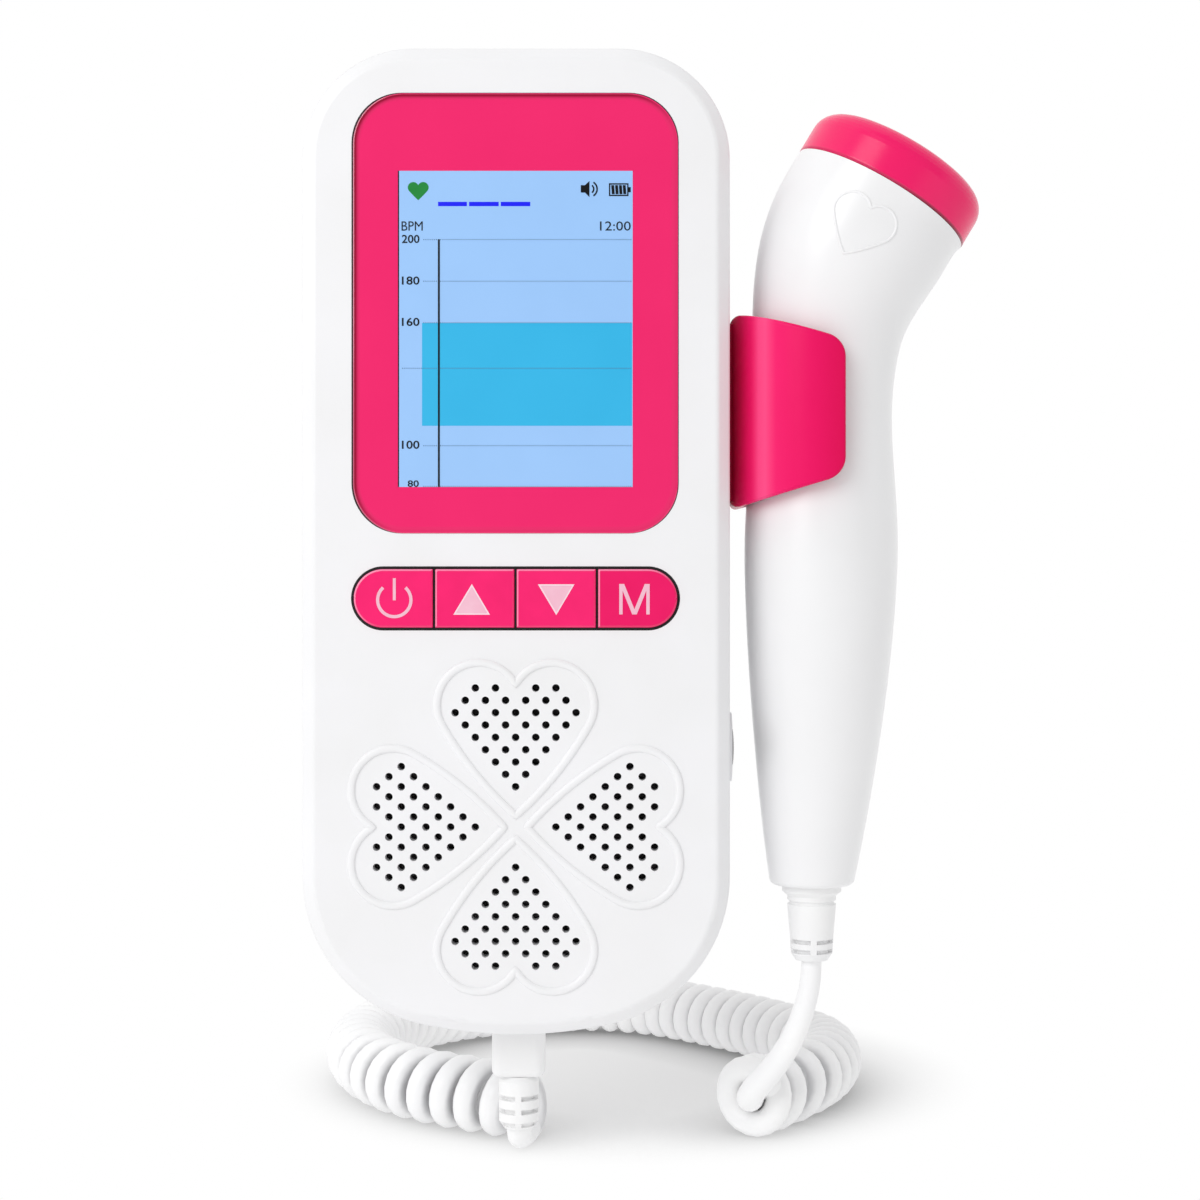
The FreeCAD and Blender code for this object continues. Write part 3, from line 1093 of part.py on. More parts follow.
def plug_strain_relief():
    """Ribbed sleeve under the plug."""
    (top_step, top_run), (end_step, end_run) = PLUG_RELIEF_ENDS
    profile = ((PLUG_RELIEF_R - top_step, 0.0), (PLUG_RELIEF_R, top_run),
               (PLUG_RELIEF_R, PLUG_RELIEF_LENGTH - end_run), (PLUG_RELIEF_R - end_step, PLUG_RELIEF_LENGTH))
    relief = revolved(profile, V(PLUG_X, MID_Y, PLUG_BOTTOM_Z), V(0, 0, -1), V(0, 1, 0))
    depth, height = PLUG_RELIEF_SLOT
    rows = [PLUG_BOTTOM_Z - drop for drop in PLUG_RELIEF_ROWS]
    slots = relief_slots(PLUG_X, rows, PLUG_RELIEF_R - depth, PLUG_RELIEF_R, height)
    bore = rod(CORD_R, V(PLUG_X, MID_Y, PLUG_RELIEF_END_Z - PASS),
               V(PLUG_X, MID_Y, PLUG_RELIEF_END_Z + PLUG_CORD_DEPTH))
    return relief.cut(slots + [bore])


def rounded_route(name, points):
    """Straight runs joined by tangent arcs, through hand-chosen points."""
    points = [V(*p) for p in points]
    edges = []
    start = points[0]
    radii = []
    for before, corner, after in zip(points, points[1:], points[2:]):
        inward = (before - corner).normalize()
        outward = (after - corner).normalize()
        half_turn = (math.pi - inward.getAngle(outward)) / 2.0
        shorter = min(before.distanceToPoint(corner), corner.distanceToPoint(after))
        cut_back = RUN_SHARE * shorter
        radius = cut_back / math.tan(half_turn)
        bisector = (inward + outward).normalize()
        first = corner + inward * cut_back
        last = corner + outward * cut_back
        middle = corner + bisector * (radius / math.cos(half_turn) - radius)
        edges.append(line(start, first))
        edges.append(Part.Arc(first, middle, last).toShape())
        start = last
        radii.append(round(radius, 1))
    edges.append(line(start, points[-1]))
    print(name, "radii", radii)
    return Part.Wire(edges)


def swept(name, points, radius):
    """Round tube along a route, with its volume compared with section times length."""
    path = rounded_route(name, points)
    start = V(*points[0])
    direction = V(*points[1]) - start
    section = Part.Wire(Part.makeCircle(radius, start, direction))
    solid = path.makePipeShell([section], True, False)
    expected = math.pi * radius ** 2 * path.Length
    print(name, "length", round(path.Length, 1), "volume ratio", round(solid.Volume / expected, 4))
    return solid


# ---------------------------------------------------------------- the whole model
def build():
    """Write every node."""
    export("front_shell", front_shell())
    export("rear_shell", rear_shell())
    export("battery_door", battery_door())
    for number, (x, z) in enumerate(bosses(), 1):
        export("case_screw_%d" % number, case_screw(x, z))

    export("screen_panel", screen_panel())
    export("display_gasket", display_frame(LCD_BORDER - GASKET_INSET, DISPLAY_MARGIN + FIT, INNER_FRONT_Y,
                                           GASKET_BACK_Y))
    export("lcd_module", lcd_module())
    export("display_frame", display_frame(LCD_BORDER, 0.0, LCD_BACK_Y, PCB_FRONT_Y))
    export("display_ribbon", display_ribbon())
    for index, name in enumerate(KEY_NAMES):
        export("button_" + name, key_button(index))
        export("switch_" + name, tact_switch(index))
    export("keypad_membrane", keypad_membrane())

    export("main_board", main_board())
    export("board_chips", board_chips())
    for number, (x, z) in enumerate(pcb_posts(), 1):
        export("board_screw_%d" % number, board_screw(x, z))
    export("speaker_cloth", speaker_cloth())
    export("speaker_frame", speaker_frame())
    export("speaker_cone", speaker_cone())
    export("speaker_magnet", speaker_magnet())
    export("battery_left", battery(-1))
    export("battery_right", battery(1))
    export("battery_contact_top", battery_contact_top())
    export("battery_contact_left", battery_contact_bottom(-1))
    export("battery_contact_right", battery_contact_bottom(1))
    export("earphone_jack", earphone_jack())
    export("probe_socket", probe_socket())

    export("probe_clip", probe_clip())
    for number, z in enumerate(clip_screw_heights(), 1):
        export("clip_screw_%d" % number, clip_screw(z))

    export("probe_shell_front", probe_shell(-1))
    export("probe_shell_rear", probe_shell(1))
    export("probe_cap", probe_cap())
    export("probe_lens", probe_stack(LENS_R, 0.0, LENS_THICKNESS))
    export("probe_crystal", probe_stack(PIEZO_R, LENS_THICKNESS, PIEZO_THICKNESS))
    export("probe_backing", probe_stack(PIEZO_R, LENS_THICKNESS + PIEZO_THICKNESS, BACKING_HEIGHT))
    export("probe_board", probe_board())
    export("probe_strain_relief", probe_strain_relief())

    export("plug_body", plug_body())
    export("plug_tongue", plug_tongue())
    export("plug_strain_relief", plug_strain_relief())
    export("cord_plug_lead", swept("cord_plug_lead", PLUG_LEAD_POINTS, CORD_R))
    export("cord_coil", swept("cord_coil", COIL_POINTS, COIL_R))
    export("cord_probe_lead", swept("cord_probe_lead", PROBE_LEAD_POINTS, CORD_R))


os.makedirs("parts", exist_ok=True)
build()
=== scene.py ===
"""Looks of the hand-held fetal doppler monitor, its probe and its curly cord.

Lengths in this file are in millimetres, in the CAD frame, and become metres where a mesh is made.
"""

import math

import bpy
import numpy as np
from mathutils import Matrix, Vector
from mathutils.bvhtree import BVHTree


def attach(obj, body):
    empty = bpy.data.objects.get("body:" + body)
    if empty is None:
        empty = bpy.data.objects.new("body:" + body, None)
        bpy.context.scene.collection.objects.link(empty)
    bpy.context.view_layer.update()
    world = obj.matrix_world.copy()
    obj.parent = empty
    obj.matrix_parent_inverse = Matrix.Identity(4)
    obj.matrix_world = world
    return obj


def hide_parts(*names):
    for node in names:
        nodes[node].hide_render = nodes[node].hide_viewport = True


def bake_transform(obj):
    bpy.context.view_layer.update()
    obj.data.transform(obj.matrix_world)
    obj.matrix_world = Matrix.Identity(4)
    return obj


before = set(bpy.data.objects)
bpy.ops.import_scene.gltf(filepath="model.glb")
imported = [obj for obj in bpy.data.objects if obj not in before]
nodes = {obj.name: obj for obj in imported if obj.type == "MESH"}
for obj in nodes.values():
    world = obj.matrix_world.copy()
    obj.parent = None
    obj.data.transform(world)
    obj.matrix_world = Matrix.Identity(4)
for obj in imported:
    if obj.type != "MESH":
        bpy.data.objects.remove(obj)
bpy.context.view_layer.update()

MM = 0.001
TURN = 2.0 * math.pi
FACE_Y = -30.0          # case's face
PANEL_Y = -30.1         # front of the screen panel
KEY_Y = -30.5           # front of the keys
MID_Y = -16.5           # plane of the clip, probe and plug
FLOOR_Z = -100.2
INK = 0.02              # thickness of a printed layer

# curly cord
CORD_R = 2.03
END_CORD_R = 2.2        # at the loose ring
CORD_SIDES = 16
# the probe's lead: shares of its length, and its radius there
LEAD_SHARES = (0.0, 0.2, 0.35, 0.6, 1.0)
LEAD_RADII = (END_CORD_R, 2.0, 2.3, 2.0, 1.62)
CURL_R = 4.37           # axis of the curl to the middle of the cord
FAR_CURL_R = 4.07       # the same on the far side, where the curl is stretched a little
END_CURL_R = 4.7        # the same at the loose ring next to the probe's lead
CURL_TURNS = 54.625
WIDENING_TURNS = 2.2    # before the curl's end, where one turn widens to the loose ring
# turns as shares of them all, and how far the curl is stretched there, from 0 to 1
STRETCH_SHARES = (0.4, 0.55, 0.8, 0.92)
STRETCHES = (0.0, 1.0, 1.0, 0.0)
# shares of the curl's axis, and how much of it one turn takes there, before all are fitted to CURL_TURNS
CURL_SHARES = (0.0, 0.02, 0.032, 0.14, 0.25, 0.5, 0.8, 0.9, 0.93, 0.985, 0.988, 1.0)
TURN_LENGTHS = (6.4, 6.2, 4.8, 5.2, 4.0, 4.0, 4.2, 4.4, 6.9, 6.9, 2.0, 2.0)
POINTS_PER_TURN = 20
LEAD_STEP = 0.7         # between points along the leads
# a fold's painted shade: where it begins, its range and its limit, with 1 for a surface that looks along the
# curl
FOLD_FROM, FOLD_RANGE, FOLD_LIMIT = 0.84, 0.16, 0.75
FOLDLESS_TURNS = 1.0    # at the curl's end, which have no such shade
PLUG_LEAD = ((0.0, MID_Y, -90.6), (0.0, MID_Y, -94.9), (0.0, -12.5, -98.17), (1.3, -4.5, -98.17))
CURL_Z = -93.8          # the curl's axis
CURL = ((1.3, -4.5, CURL_Z), (-14.6, 3.9, CURL_Z), (-28.0, 19.2, CURL_Z), (-33.2, 38.9, CURL_Z),
        (-28.7, 59.3, CURL_Z), (-16.2, 75.3, CURL_Z), (2.7, 84.6, CURL_Z), (20.8, 82.8, CURL_Z),
        (36.0, 68.9, CURL_Z), (48.9, 53.2, CURL_Z), (57.0, 37.6, CURL_Z), (52.6, 14.4, CURL_Z),
        (38.5, -3.3, CURL_Z))
# from the curl's end: on round the last ring, into the curl behind it, and out through its middle
PROBE_LEAD = ((41.14, -5.38, -89.94), (42.6, -4.7, -91.4), (43.0, -2.1, -93.7), (41.9, 0.2, -95.5),
              (40.4, 0.8, -93.9), (39.4, -1.4, -93.4), (38.1, -6.4, -93.0), (38.9, -9.4, -90.4),
              (42.0, -11.6, -86.4), (44.8, -13.8, -81.4), (46.5, -15.5, -76.2), (47.6, MID_Y, -71.2),
              (47.65, MID_Y, -67.75))

# clover of hearts round the speaker's sound holes
CLOVER_Z = -44.7
HEART_TIP_OFFSET = 1.8
HEART_WIDTH = 24.6
HEART_HEIGHT = 23.9
HEART_NOTCH = 3.4
HEART_HALF_ANGLE = 48.5
# the small one on the probe
PROBE_HEART = (10.3, 9.3)           # width, height
PROBE_HEART_NOTCH = 1.3
PROBE_HEART_HALF_ANGLE = 52.0
PROBE_HEART_TIP = (51.2, 44.9)
PROBE_HEART_LEAN = -31.0            # degrees, anticlockwise
# the probe's cap
HEAD_TILT = 31.0                    # degrees, from straight up towards +X
CAP_CENTRE = (58.7, MID_Y, 55.8)    # middle of its lower face
CAP_R = 15.25

# the raised line of a heart
BEAD_WIDTH, BEAD_HEIGHT = 1.25, 0.42
PROBE_BEAD_WIDTH, PROBE_BEAD_HEIGHT = 0.46, 0.15

# screen panel and key row, as left, right, bottom, top
PANEL = (-25.3, 25.3, 1.3, 69.9)
PANEL_CORNER = 7.8
SCREEN = (-18.25, 18.3, 8.46, 57.85)    # lit picture
SLOT = (-25.65, 25.65, -13.9, -4.0)
KEY_GAP = 0.4
KEY_WIDTH = 12.325
KEY_CORNER = 0.35       # round of the edge between a key's front and its sides
KEYS = ("power", "up", "down", "mode")


# ---------------------------------------------------------------- shapes
def put_mesh(name, points, faces, body, material, smooth=True):
    """Mesh object from rows of x, y, z in millimetres and rows of corner numbers, with body and finish."""
    mesh = bpy.data.meshes.new(name)
    mesh.from_pydata((np.asarray(points, float).reshape(-1, 3) * MM).tolist(), [],
                     faces.tolist() if isinstance(faces, np.ndarray) else faces)
    mesh.polygons.foreach_set("use_smooth", np.full(len(mesh.polygons), smooth))
    mesh.update()
    made = bpy.data.objects.new(name, mesh)
    bpy.context.scene.collection.objects.link(made)
    mesh.materials.append(material)
    if body:
        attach(made, body)
    return made


def grid_faces(rows, columns, loop_rows=False, loop_columns=False):
    """Quads of a grid of rows x columns points; a looped direction joins its last line to its first."""
    row_count = rows if loop_rows else rows - 1
    column_count = columns if loop_columns else columns - 1
    i, j = np.meshgrid(np.arange(row_count), np.arange(column_count), indexing="ij")
    i2, j2 = (i + 1) % rows, (j + 1) % columns
    quads = [i * columns + j, i * columns + j2, i2 * columns + j2, i2 * columns + j]
    return np.stack(quads, -1).reshape(-1, 4)


def unit(rows):
    """Each row of an array divided by its own length."""
    return rows / np.maximum(np.linalg.norm(rows, axis=-1, keepdims=True), 1e-12)


def rectangle(left, right, bottom, top):
    """Corners of an upright rectangle as (x, z), anticlockwise."""
    return np.array([(left, bottom), (right, bottom), (right, top), (left, top)])


def arc(x, z, radius, start, end, count=40):
    """Points (x, z) along a circle from one angle to another, in degrees from +X towards +Z."""
    angle = np.radians(np.linspace(start, end, count))
    return np.stack([x + radius * np.cos(angle), z + radius * np.sin(angle)], -1)


def rounded(left, right, bottom, top, lower_left, lower_right, upper_right, upper_left):
    """Closed outline of an upright rectangle whose corners have those radii, as (x, z), anticlockwise."""
    return np.concatenate([
        arc(left + lower_left, bottom + lower_left, lower_left, 180, 270, 16),
        arc(right - lower_right, bottom + lower_right, lower_right, 270, 360, 16),
        arc(right - upper_right, top - upper_right, upper_right, 0, 90, 16),
        arc(left + upper_left, top - upper_left, upper_left, 90, 180, 16)])


def band(path, width):
    """Closed outline of a line of that width along an open path: out on its right side, back on its left."""
    path = np.asarray(path, float)
    run = unit(np.gradient(path, axis=0))
    side = np.stack([-run[:, 1], run[:, 0]], -1) * width / 2
    return np.concatenate([path - side, (path + side)[::-1]])


def print_on(name, outlines, y, body, material):
    """Flat print that faces -Y at that depth: every outline, rows of (x, z), is one face."""
    points, faces, start = [], [], 0
    for outline in outlines:
        outline = np.asarray(outline, float)
        after = np.roll(outline, -1, 0)
        area = (outline[:, 0] * after[:, 1] - after[:, 0] * outline[:, 1]).sum()
        outline = outline if area > 0 else outline[::-1]
        points.append(np.insert(outline, 1, y, axis=1))
        faces.append(list(range(start, start + len(outline))))
        start += len(outline)
    return put_mesh(name, np.concatenate(points), faces, body, material, smooth=False)


def strip(name, loops, depths, body, material, shares=None):
    """Strip through closed outlines with as many points each, from the outermost in, each at its own depth.

    The attribute "share" holds one number for each point, for a finish that changes across or round it.
    """
    loops = np.asarray(loops, float)
    depths = np.broadcast_to(np.asarray(depths, float)[:, None], loops.shape[:2])
    points = np.stack([loops[..., 0], depths, loops[..., 1]], -1)
    made = put_mesh(name, points, grid_faces(*loops.shape[:2], loop_columns=True), body, material)
    if shares is not None:
        put_shares(made, shares)
    return made


def put_shares(piece, shares):
    """Stores one number for each point of the piece, for a finish that fades with it."""
    piece.data.attributes.new("share", "FLOAT", "POINT").data.foreach_set("value", np.ravel(shares))


def print_words(name, words, left, right, bottom, top, y, body, material, bold=0.0):
    """Lettering on a face that looks along -Y: the type's own outline, stretched to fill the rectangle."""
    curve = bpy.data.curves.new(name, "FONT")
    curve.body, curve.resolution_u, curve.offset = words, 3, bold
    holder = bpy.data.objects.new(name, curve)
    mesh = bpy.data.meshes.new_from_object(holder)
    bpy.data.objects.remove(holder)
    bpy.data.curves.remove(curve)
    flat = np.empty(len(mesh.vertices) * 3)
    mesh.vertices.foreach_get("co", flat)
    flat = flat.reshape(-1, 3)[:, :2]
    low, high = flat.min(0), flat.max(0)
    place = (flat - low) / (high - low) * (right - left, top - bottom) + (left, bottom)
    faces = [list(p.vertices) for p in mesh.polygons]
    bpy.data.meshes.remove(mesh)
    return put_mesh(name, np.insert(place, 1, y, axis=1), faces, body, material, smooth=False)


def heart(width, height, notch, half_angle, count=48):
    """Outline of a heart as (x, z), tip at the origin and lobes up, anticlockwise.

    Each half is an arc that leaves the tip at the half angle, and a lobe of radius r that it meets without a
    corner: r = s - sqrt(s^2 - (width / 2)^2 - notch^2), with s = width / 2 + notch.
    """
    total = width / 2 + notch
    lobe_r = total - math.sqrt(total ** 2 - (width / 2) ** 2 - notch ** 2)
    lobe = np.array([width / 2 - lobe_r, height - lobe_r])
    tip = math.radians(half_angle)
    lean = lobe[0] * math.cos(tip) - lobe[1] * math.sin(tip) + lobe_r
    side_r = (lobe_r ** 2 - (lobe ** 2).sum()) / (2 * lean)
    side = np.array([-side_r * math.cos(tip), side_r * math.sin(tip)])
    meet = math.degrees(math.atan2(*(lobe - side)[::-1]))
    top = math.degrees(math.atan2(height - notch - lobe[1], -lobe[0]))
    flank = arc(*side, side_r, -half_angle, meet, count)
    half = np.concatenate([flank[:-1], arc(*lobe, lobe_r, meet, top, count)])
    return np.concatenate([half, half[-2:0:-1] * (-1, 1)])


def route(points, resolution=24):
    """Points along the smooth NURBS line that has those given points as its control points."""
    curve = bpy.data.curves.new("route", "CURVE")
    curve.dimensions = "3D"
    spline = curve.splines.new("NURBS")
    spline.points.add(len(points) - 1)
    spline.points.foreach_set("co", np.insert(np.asarray(points, float) * MM, 3, 1.0, axis=1).ravel())
    spline.order_u = 3
    spline.use_endpoint_u = True
    spline.resolution_u = resolution
    holder = bpy.data.objects.new("route", curve)
    mesh = bpy.data.meshes.new_from_object(holder)
    line = np.empty(len(mesh.vertices) * 3)
    mesh.vertices.foreach_get("co", line)
    bpy.data.objects.remove(holder)
    bpy.data.curves.remove(curve)
    bpy.data.meshes.remove(mesh)
    return line.reshape(-1, 3) / MM


def spaced(line, count):
    """A line's points again, that many, the same length of line apart."""
    along = np.concatenate([[0.0], np.cumsum(np.linalg.norm(np.diff(line, axis=0), axis=1))])
    at = np.linspace(0.0, along[-1], count)
    return np.stack([np.interp(at, along, line[:, k]) for k in range(line.shape[1])], -1)


def lead_points(points):
    """A lead's line, with points LEAD_STEP apart."""
    line = route(points)
    length = np.linalg.norm(np.diff(line, axis=0), axis=1).sum()
    return spaced(line, int(length / LEAD_STEP) + 2)


def frames_along(path):
    """Two directions across a path at each point, which turn with it but don't twist round it.

    Each point first gets a direction across its tangent. The angle between that and its neighbour's, carried
    along the bend, is summed along the path and taken off.
    """
    run = unit(np.gradient(path, axis=0))
    start = unit(np.cross(run, np.eye(3)[np.abs(run).argmin(1)]))
    other = np.cross(run, start)
    before, after = run[:-1], run[1:]
    tilt_share = (start[:-1] * after).sum(1) / (1 + (before * after).sum(1))
    carried = start[:-1] - tilt_share[:, None] * (before + after)
    step = np.arctan2((carried * other[1:]).sum(1), (carried * start[1:]).sum(1))
    turn = np.concatenate([[0.0], np.cumsum(step)])[:, None]
    first = start * np.cos(turn) + other * np.sin(turn)
    return first, np.cross(run, first)


def tube_mesh(path, radius, around):
    """Points and faces of a round tube: path + radius * (first * cos a + second * sin a), both ends closed.

    The radius is one number for each point of the path.
    """
    first, second = frames_along(path)
    angle = np.linspace(0.0, TURN, around, endpoint=False)[None, :, None]
    spokes = first[:, None] * np.cos(angle) + second[:, None] * np.sin(angle)
    points = path[:, None] + radius[:, None, None] * spokes
    faces = grid_faces(len(path), around, loop_columns=True)[:, ::-1].tolist()
    last = (len(path) - 1) * around
    ends = [list(range(around))[::-1], list(range(last, last + around))]
    return points.reshape(-1, 3), faces + ends


def bead(outline, depth, width, height, sunk=0.06, steps=9):
    """Points and faces of a raised round line along a closed outline of (x, z) on a face at that depth.

    Across the line the place is width / 2 * cos a, and the height above the face is height * sin a, with a
    from 0 to half a turn; its feet are sunk below the face.
    """
    along = unit(np.roll(outline, -1, 0) - np.roll(outline, 1, 0))
    out = np.stack([along[:, 1], -along[:, 0]], -1)
    angle = np.linspace(0.0, math.pi, steps)
    across, rise = width / 2 * np.cos(angle), height * np.sin(angle)
    rise[[0, -1]] = -sunk
    flat = outline[:, None] + out[:, None] * across[None, :, None]
    depth = np.broadcast_to(np.asarray(depth, float).reshape(-1, 1), flat.shape[:2])
    points = np.stack([flat[..., 0], depth - rise, flat[..., 1]], -1)
    return points.reshape(-1, 3), grid_faces(len(outline), steps, loop_rows=True)


# ---------------------------------------------------------------- finishes
def linear(code):
    """Linear colour and alpha of a hex sRGB code."""
    value = np.array([int(code[i:i + 2], 16) for i in (0, 2, 4)]) / 255.0
    value = np.where(value <= 0.04045, value / 12.92, ((value + 0.055) / 1.055) ** 2.4)
    return (*value.tolist(), 1.0)


def add(tree, kind, inputs=None, **settings):
    """Adds one node with its settings; inputs gives each socket a value or another node's output."""
    made = tree.nodes.new(kind)
    for name, value in settings.items():
        setattr(made, name, value)
    for socket, value in (inputs or {}).items():
        if isinstance(value, bpy.types.NodeSocket):
            tree.links.new(value, made.inputs[socket])
        else:
            made.inputs[socket].default_value = value
    return made


def mixed(tree, factor, a, b):
    """Output of a node that mixes two colours: a where the factor is 0, b where it is 1."""
    return add(tree, "ShaderNodeMix", {"Factor": factor, "A": a, "B": b}, data_type="RGBA").outputs["Result"]


def math_of(tree, operation, a, b):
    """Output of a math node."""
    return add(tree, "ShaderNodeMath", {0: a, 1: b}, operation=operation).outputs["Value"]


def ranged(tree, value, low, high, to_low, to_high, kind="LINEAR"):
    """Output of a node that takes a value from one range to another and holds it at the ends."""
    return add(tree, "ShaderNodeMapRange", {"Value": value, "From Min": low, "From Max": high,
                                            "To Min": to_low, "To Max": to_high},
               interpolation_type=kind).outputs["Result"]


def ray_kinds(tree):
    """Two outputs: 1 for a camera, transmission or glossy ray, and 1 for a glossy ray; else 0."""
    rays = add(tree, "ShaderNodeLightPath").outputs
    seen = math_of(tree, "MAXIMUM", rays["Is Camera Ray"], rays["Is Transmission Ray"])
    return math_of(tree, "MAXIMUM", seen, rays["Is Glossy Ray"]), rays["Is Glossy Ray"]


def start_material(name, **values):
    """New material with one Principled shader whose sockets have these values."""
    made = bpy.data.materials.new(name)
    made.use_nodes = True
    tree = made.node_tree
    tree.nodes.clear()
    shader = add(tree, "ShaderNodeBsdfPrincipled", {k.replace("_", " "): v for k, v in values.items()})
    add(tree, "ShaderNodeOutputMaterial", {"Surface": shader.outputs["BSDF"]})
    return made, tree, shader


def blotch(tree, vector, shades, size, detail=2.0):
    """Colour that wanders between two shades, in patches of about that many millimetres."""
    noise = add(tree, "ShaderNodeTexNoise", {"Vector": vector, "Scale": 1000.0 / size, "Detail": detail})
    ramp = ranged(tree, noise.outputs["Fac"], 0.3, 0.7, 0.0, 1.0)
    return mixed(tree, ramp, linear(shades[0]), linear(shades[1]))


def moulded(name, shades, roughness, grain, depth, patch=14.0, **values):
    """Moulded plastic: two close shades in soft patches, and a pebbled grain; sizes are in millimetres."""
    made, tree, shader = start_material(name, Roughness=roughness, **values)
    place = add(tree, "ShaderNodeTexCoord").outputs["Object"]
    tree.links.new(blotch(tree, place, shades, patch), shader.inputs["Base Color"])
    fine = add(tree, "ShaderNodeTexNoise", {"Vector": place, "Scale": 1000.0 / grain, "Detail": 3.0})
    spread = ranged(tree, fine.outputs["Fac"], 0.0, 1.0, roughness * 0.85, roughness * 1.15)
    bump = add(tree, "ShaderNodeBump", {"Height": fine.outputs["Fac"], "Strength": 0.4,
                                        "Distance": depth * MM})
    tree.links.new(spread, shader.inputs["Roughness"])
    tree.links.new(bump.outputs["Normal"], shader.inputs["Normal"])
    return made


def metal(name, shades, roughness, scratch, depth):
    """Plated or stamped metal: two close shades, and long fine scratches that many millimetres apart."""
    made, tree, shader = start_material(name, Metallic=1.0, Roughness=roughness)
    place = add(tree, "ShaderNodeTexCoord").outputs["Object"]
    tree.links.new(blotch(tree, place, shades, 3.0), shader.inputs["Base Color"])
    stretch = add(tree, "ShaderNodeMapping", {"Vector": place, "Scale": (1.0, 1.0, 0.08)})
    lines = add(tree, "ShaderNodeTexNoise", {"Vector": stretch.outputs["Vector"], "Scale": 1000.0 / scratch})
    bump = add(tree, "ShaderNodeBump", {"Height": lines.outputs["Fac"], "Strength": 0.4,
                                        "Distance": depth * MM})
    tree.links.new(bump.outputs["Normal"], shader.inputs["Normal"])
    return made


def printed(name, shades, roughness, glow, patch=2.0):
    """Ink or a lit layer: two close shades, and a little light of its own where it is lit from behind."""
    made, tree, shader = start_material(name, Roughness=roughness)
    place = add(tree, "ShaderNodeTexCoord").outputs["Object"]
    colour = blotch(tree, place, shades, patch)
    tree.links.new(colour, shader.inputs["Base Color"])
    if glow:
        tree.links.new(colour, shader.inputs["Emission Color"])
        shader.inputs["Emission Strength"].default_value = glow
    return made


def fading(name, shades, edge, roughness, **values):
    """Smooth finish that goes over to a painted tone, shade or highlight, given as edge, as the attribute
    "share" goes from 0 to 1.
    """
    made, tree, shader = start_material(name, Roughness=roughness, **values)
    place = add(tree, "ShaderNodeTexCoord").outputs["Object"]
    share = add(tree, "ShaderNodeAttribute", attribute_name="share")
    colour = mixed(tree, share.outputs["Fac"], blotch(tree, place, shades, 14.0), linear(edge))
    tree.links.new(colour, shader.inputs["Base Color"])
    return made


def shade_across(material, stops):
    """Adds painted shade and painted highlight that follow x over the finish's own colour; a stop is an x, a
    shade and its share.
    """
    tree = material.node_tree
    shader = next(node for node in tree.nodes if node.type == "BSDF_PRINCIPLED")
    own = shader.inputs["Base Color"].links[0].from_socket
    place = add(tree, "ShaderNodeTexCoord").outputs["Object"]
    x = add(tree, "ShaderNodeSeparateXYZ", {"Vector": place}).outputs["X"]
    low, high = stops[0][0], stops[-1][0]
    ramp = add(tree, "ShaderNodeValToRGB", {"Fac": ranged(tree, x, low * MM, high * MM, 0.0, 1.0)})
    while len(ramp.color_ramp.elements) < len(stops):
        ramp.color_ramp.elements.new(0.5)
    for element, (at, shade, share) in zip(ramp.color_ramp.elements, stops):
        element.position = (at - low) / (high - low)
        element.color = (*linear(shade)[:3], share)
    colour = mixed(tree, ramp.outputs["Alpha"], own, ramp.outputs["Color"])
    tree.links.new(colour, shader.inputs["Base Color"])


# ABS, injection moulded against a lightly sparked mould: satin white, very fine pebbles, slow soft shine
case_white = moulded("abs_moulded_satin_white", ("f1f1f3", "eeeeef"), 0.38, 0.35, 0.004)
# the same ABS, polished mould on the probe: smoother, a little warmer
probe_white = moulded("abs_moulded_polished_white", ("f2f2f3", "f0f0f1"), 0.3, 0.5, 0.0012, Coat_Weight=0.35,
                       Coat_Roughness=0.3)
# ABS inside the case, left as it came from the tool
inner_white = moulded("abs_moulded_plain_white", ("e6e6e4", "dfdfdd"), 0.5, 0.4, 0.01)
# acrylic sheet, back-printed pink, polished edges: deep even colour under a clear gloss
PANEL_SHADES = ("f02c6e", "ed2a6c")
panel_pink = moulded("acrylic_back_printed_pink", PANEL_SHADES, 0.16, 6.0, 0.002, Specular_IOR_Level=0.15)
# ABS moulded in pink against a polished tool: gloss with soft flow marks
KEY_SHADES, MODE_SHADES = ("f82a73", "f2286f"), ("ee2068", "ea1e65")
key_pink = moulded("abs_moulded_gloss_pink", KEY_SHADES, 0.24, 0.6, 0.0015, patch=4.0,
                   Specular_IOR_Level=0.06)
mode_pink = moulded("abs_moulded_gloss_deep_pink", MODE_SHADES, 0.24, 0.6, 0.0015, patch=4.0,
                    Specular_IOR_Level=0.06)
# the clip's pink, with painted shade by the case and at its free edge, and a painted highlight along its
# round
clip_pink_painted_light = moulded("abs_moulded_clip_pink_painted_light", ("ee1868", "ea1664"), 0.24, 0.8, 0.0012, patch=9.0,
                    Specular_IOR_Level=0.08)
shade_across(clip_pink_painted_light, (
    (34.0, "98000c", 0.7), (35.2, "c80028", 0.35), (37.0, "ee1864", 0.2), (38.2, "ff5c96", 0.6),
    (39.2, "ff5c94", 0.7), (40.8, "f83478", 0.4), (43.5, "e81660", 0.3), (51.5, "d60c4c", 0.75)))
CAP_SHADES = ("f41c6a", "f01a66")
cap_pink = moulded("abs_moulded_cap_pink", CAP_SHADES, 0.24, 0.8, 0.0012, patch=9.0, Specular_IOR_Level=0.3)
# soft PVC, overmoulded: matt white with a fine grain
relief_white = moulded("pvc_overmoulded_white", ("f5f5f5", "f0f0f1"), 0.45, 0.25, 0.006)
# PVC, extruded and heat-set into curls: smooth and waxy, with shade painted grey into its folds
cord_white_painted_fold_shade = fading("pvc_extruded_white_painted_fold_shade", ("fafafa", "f6f6f7"), "c6c6c8", 0.36)
# closed-cell PE foam, black: dull, with open cut cells
foam_black = moulded("pe_foam_black", ("1c1c1e", "101012"), 0.9, 0.3, 0.08)
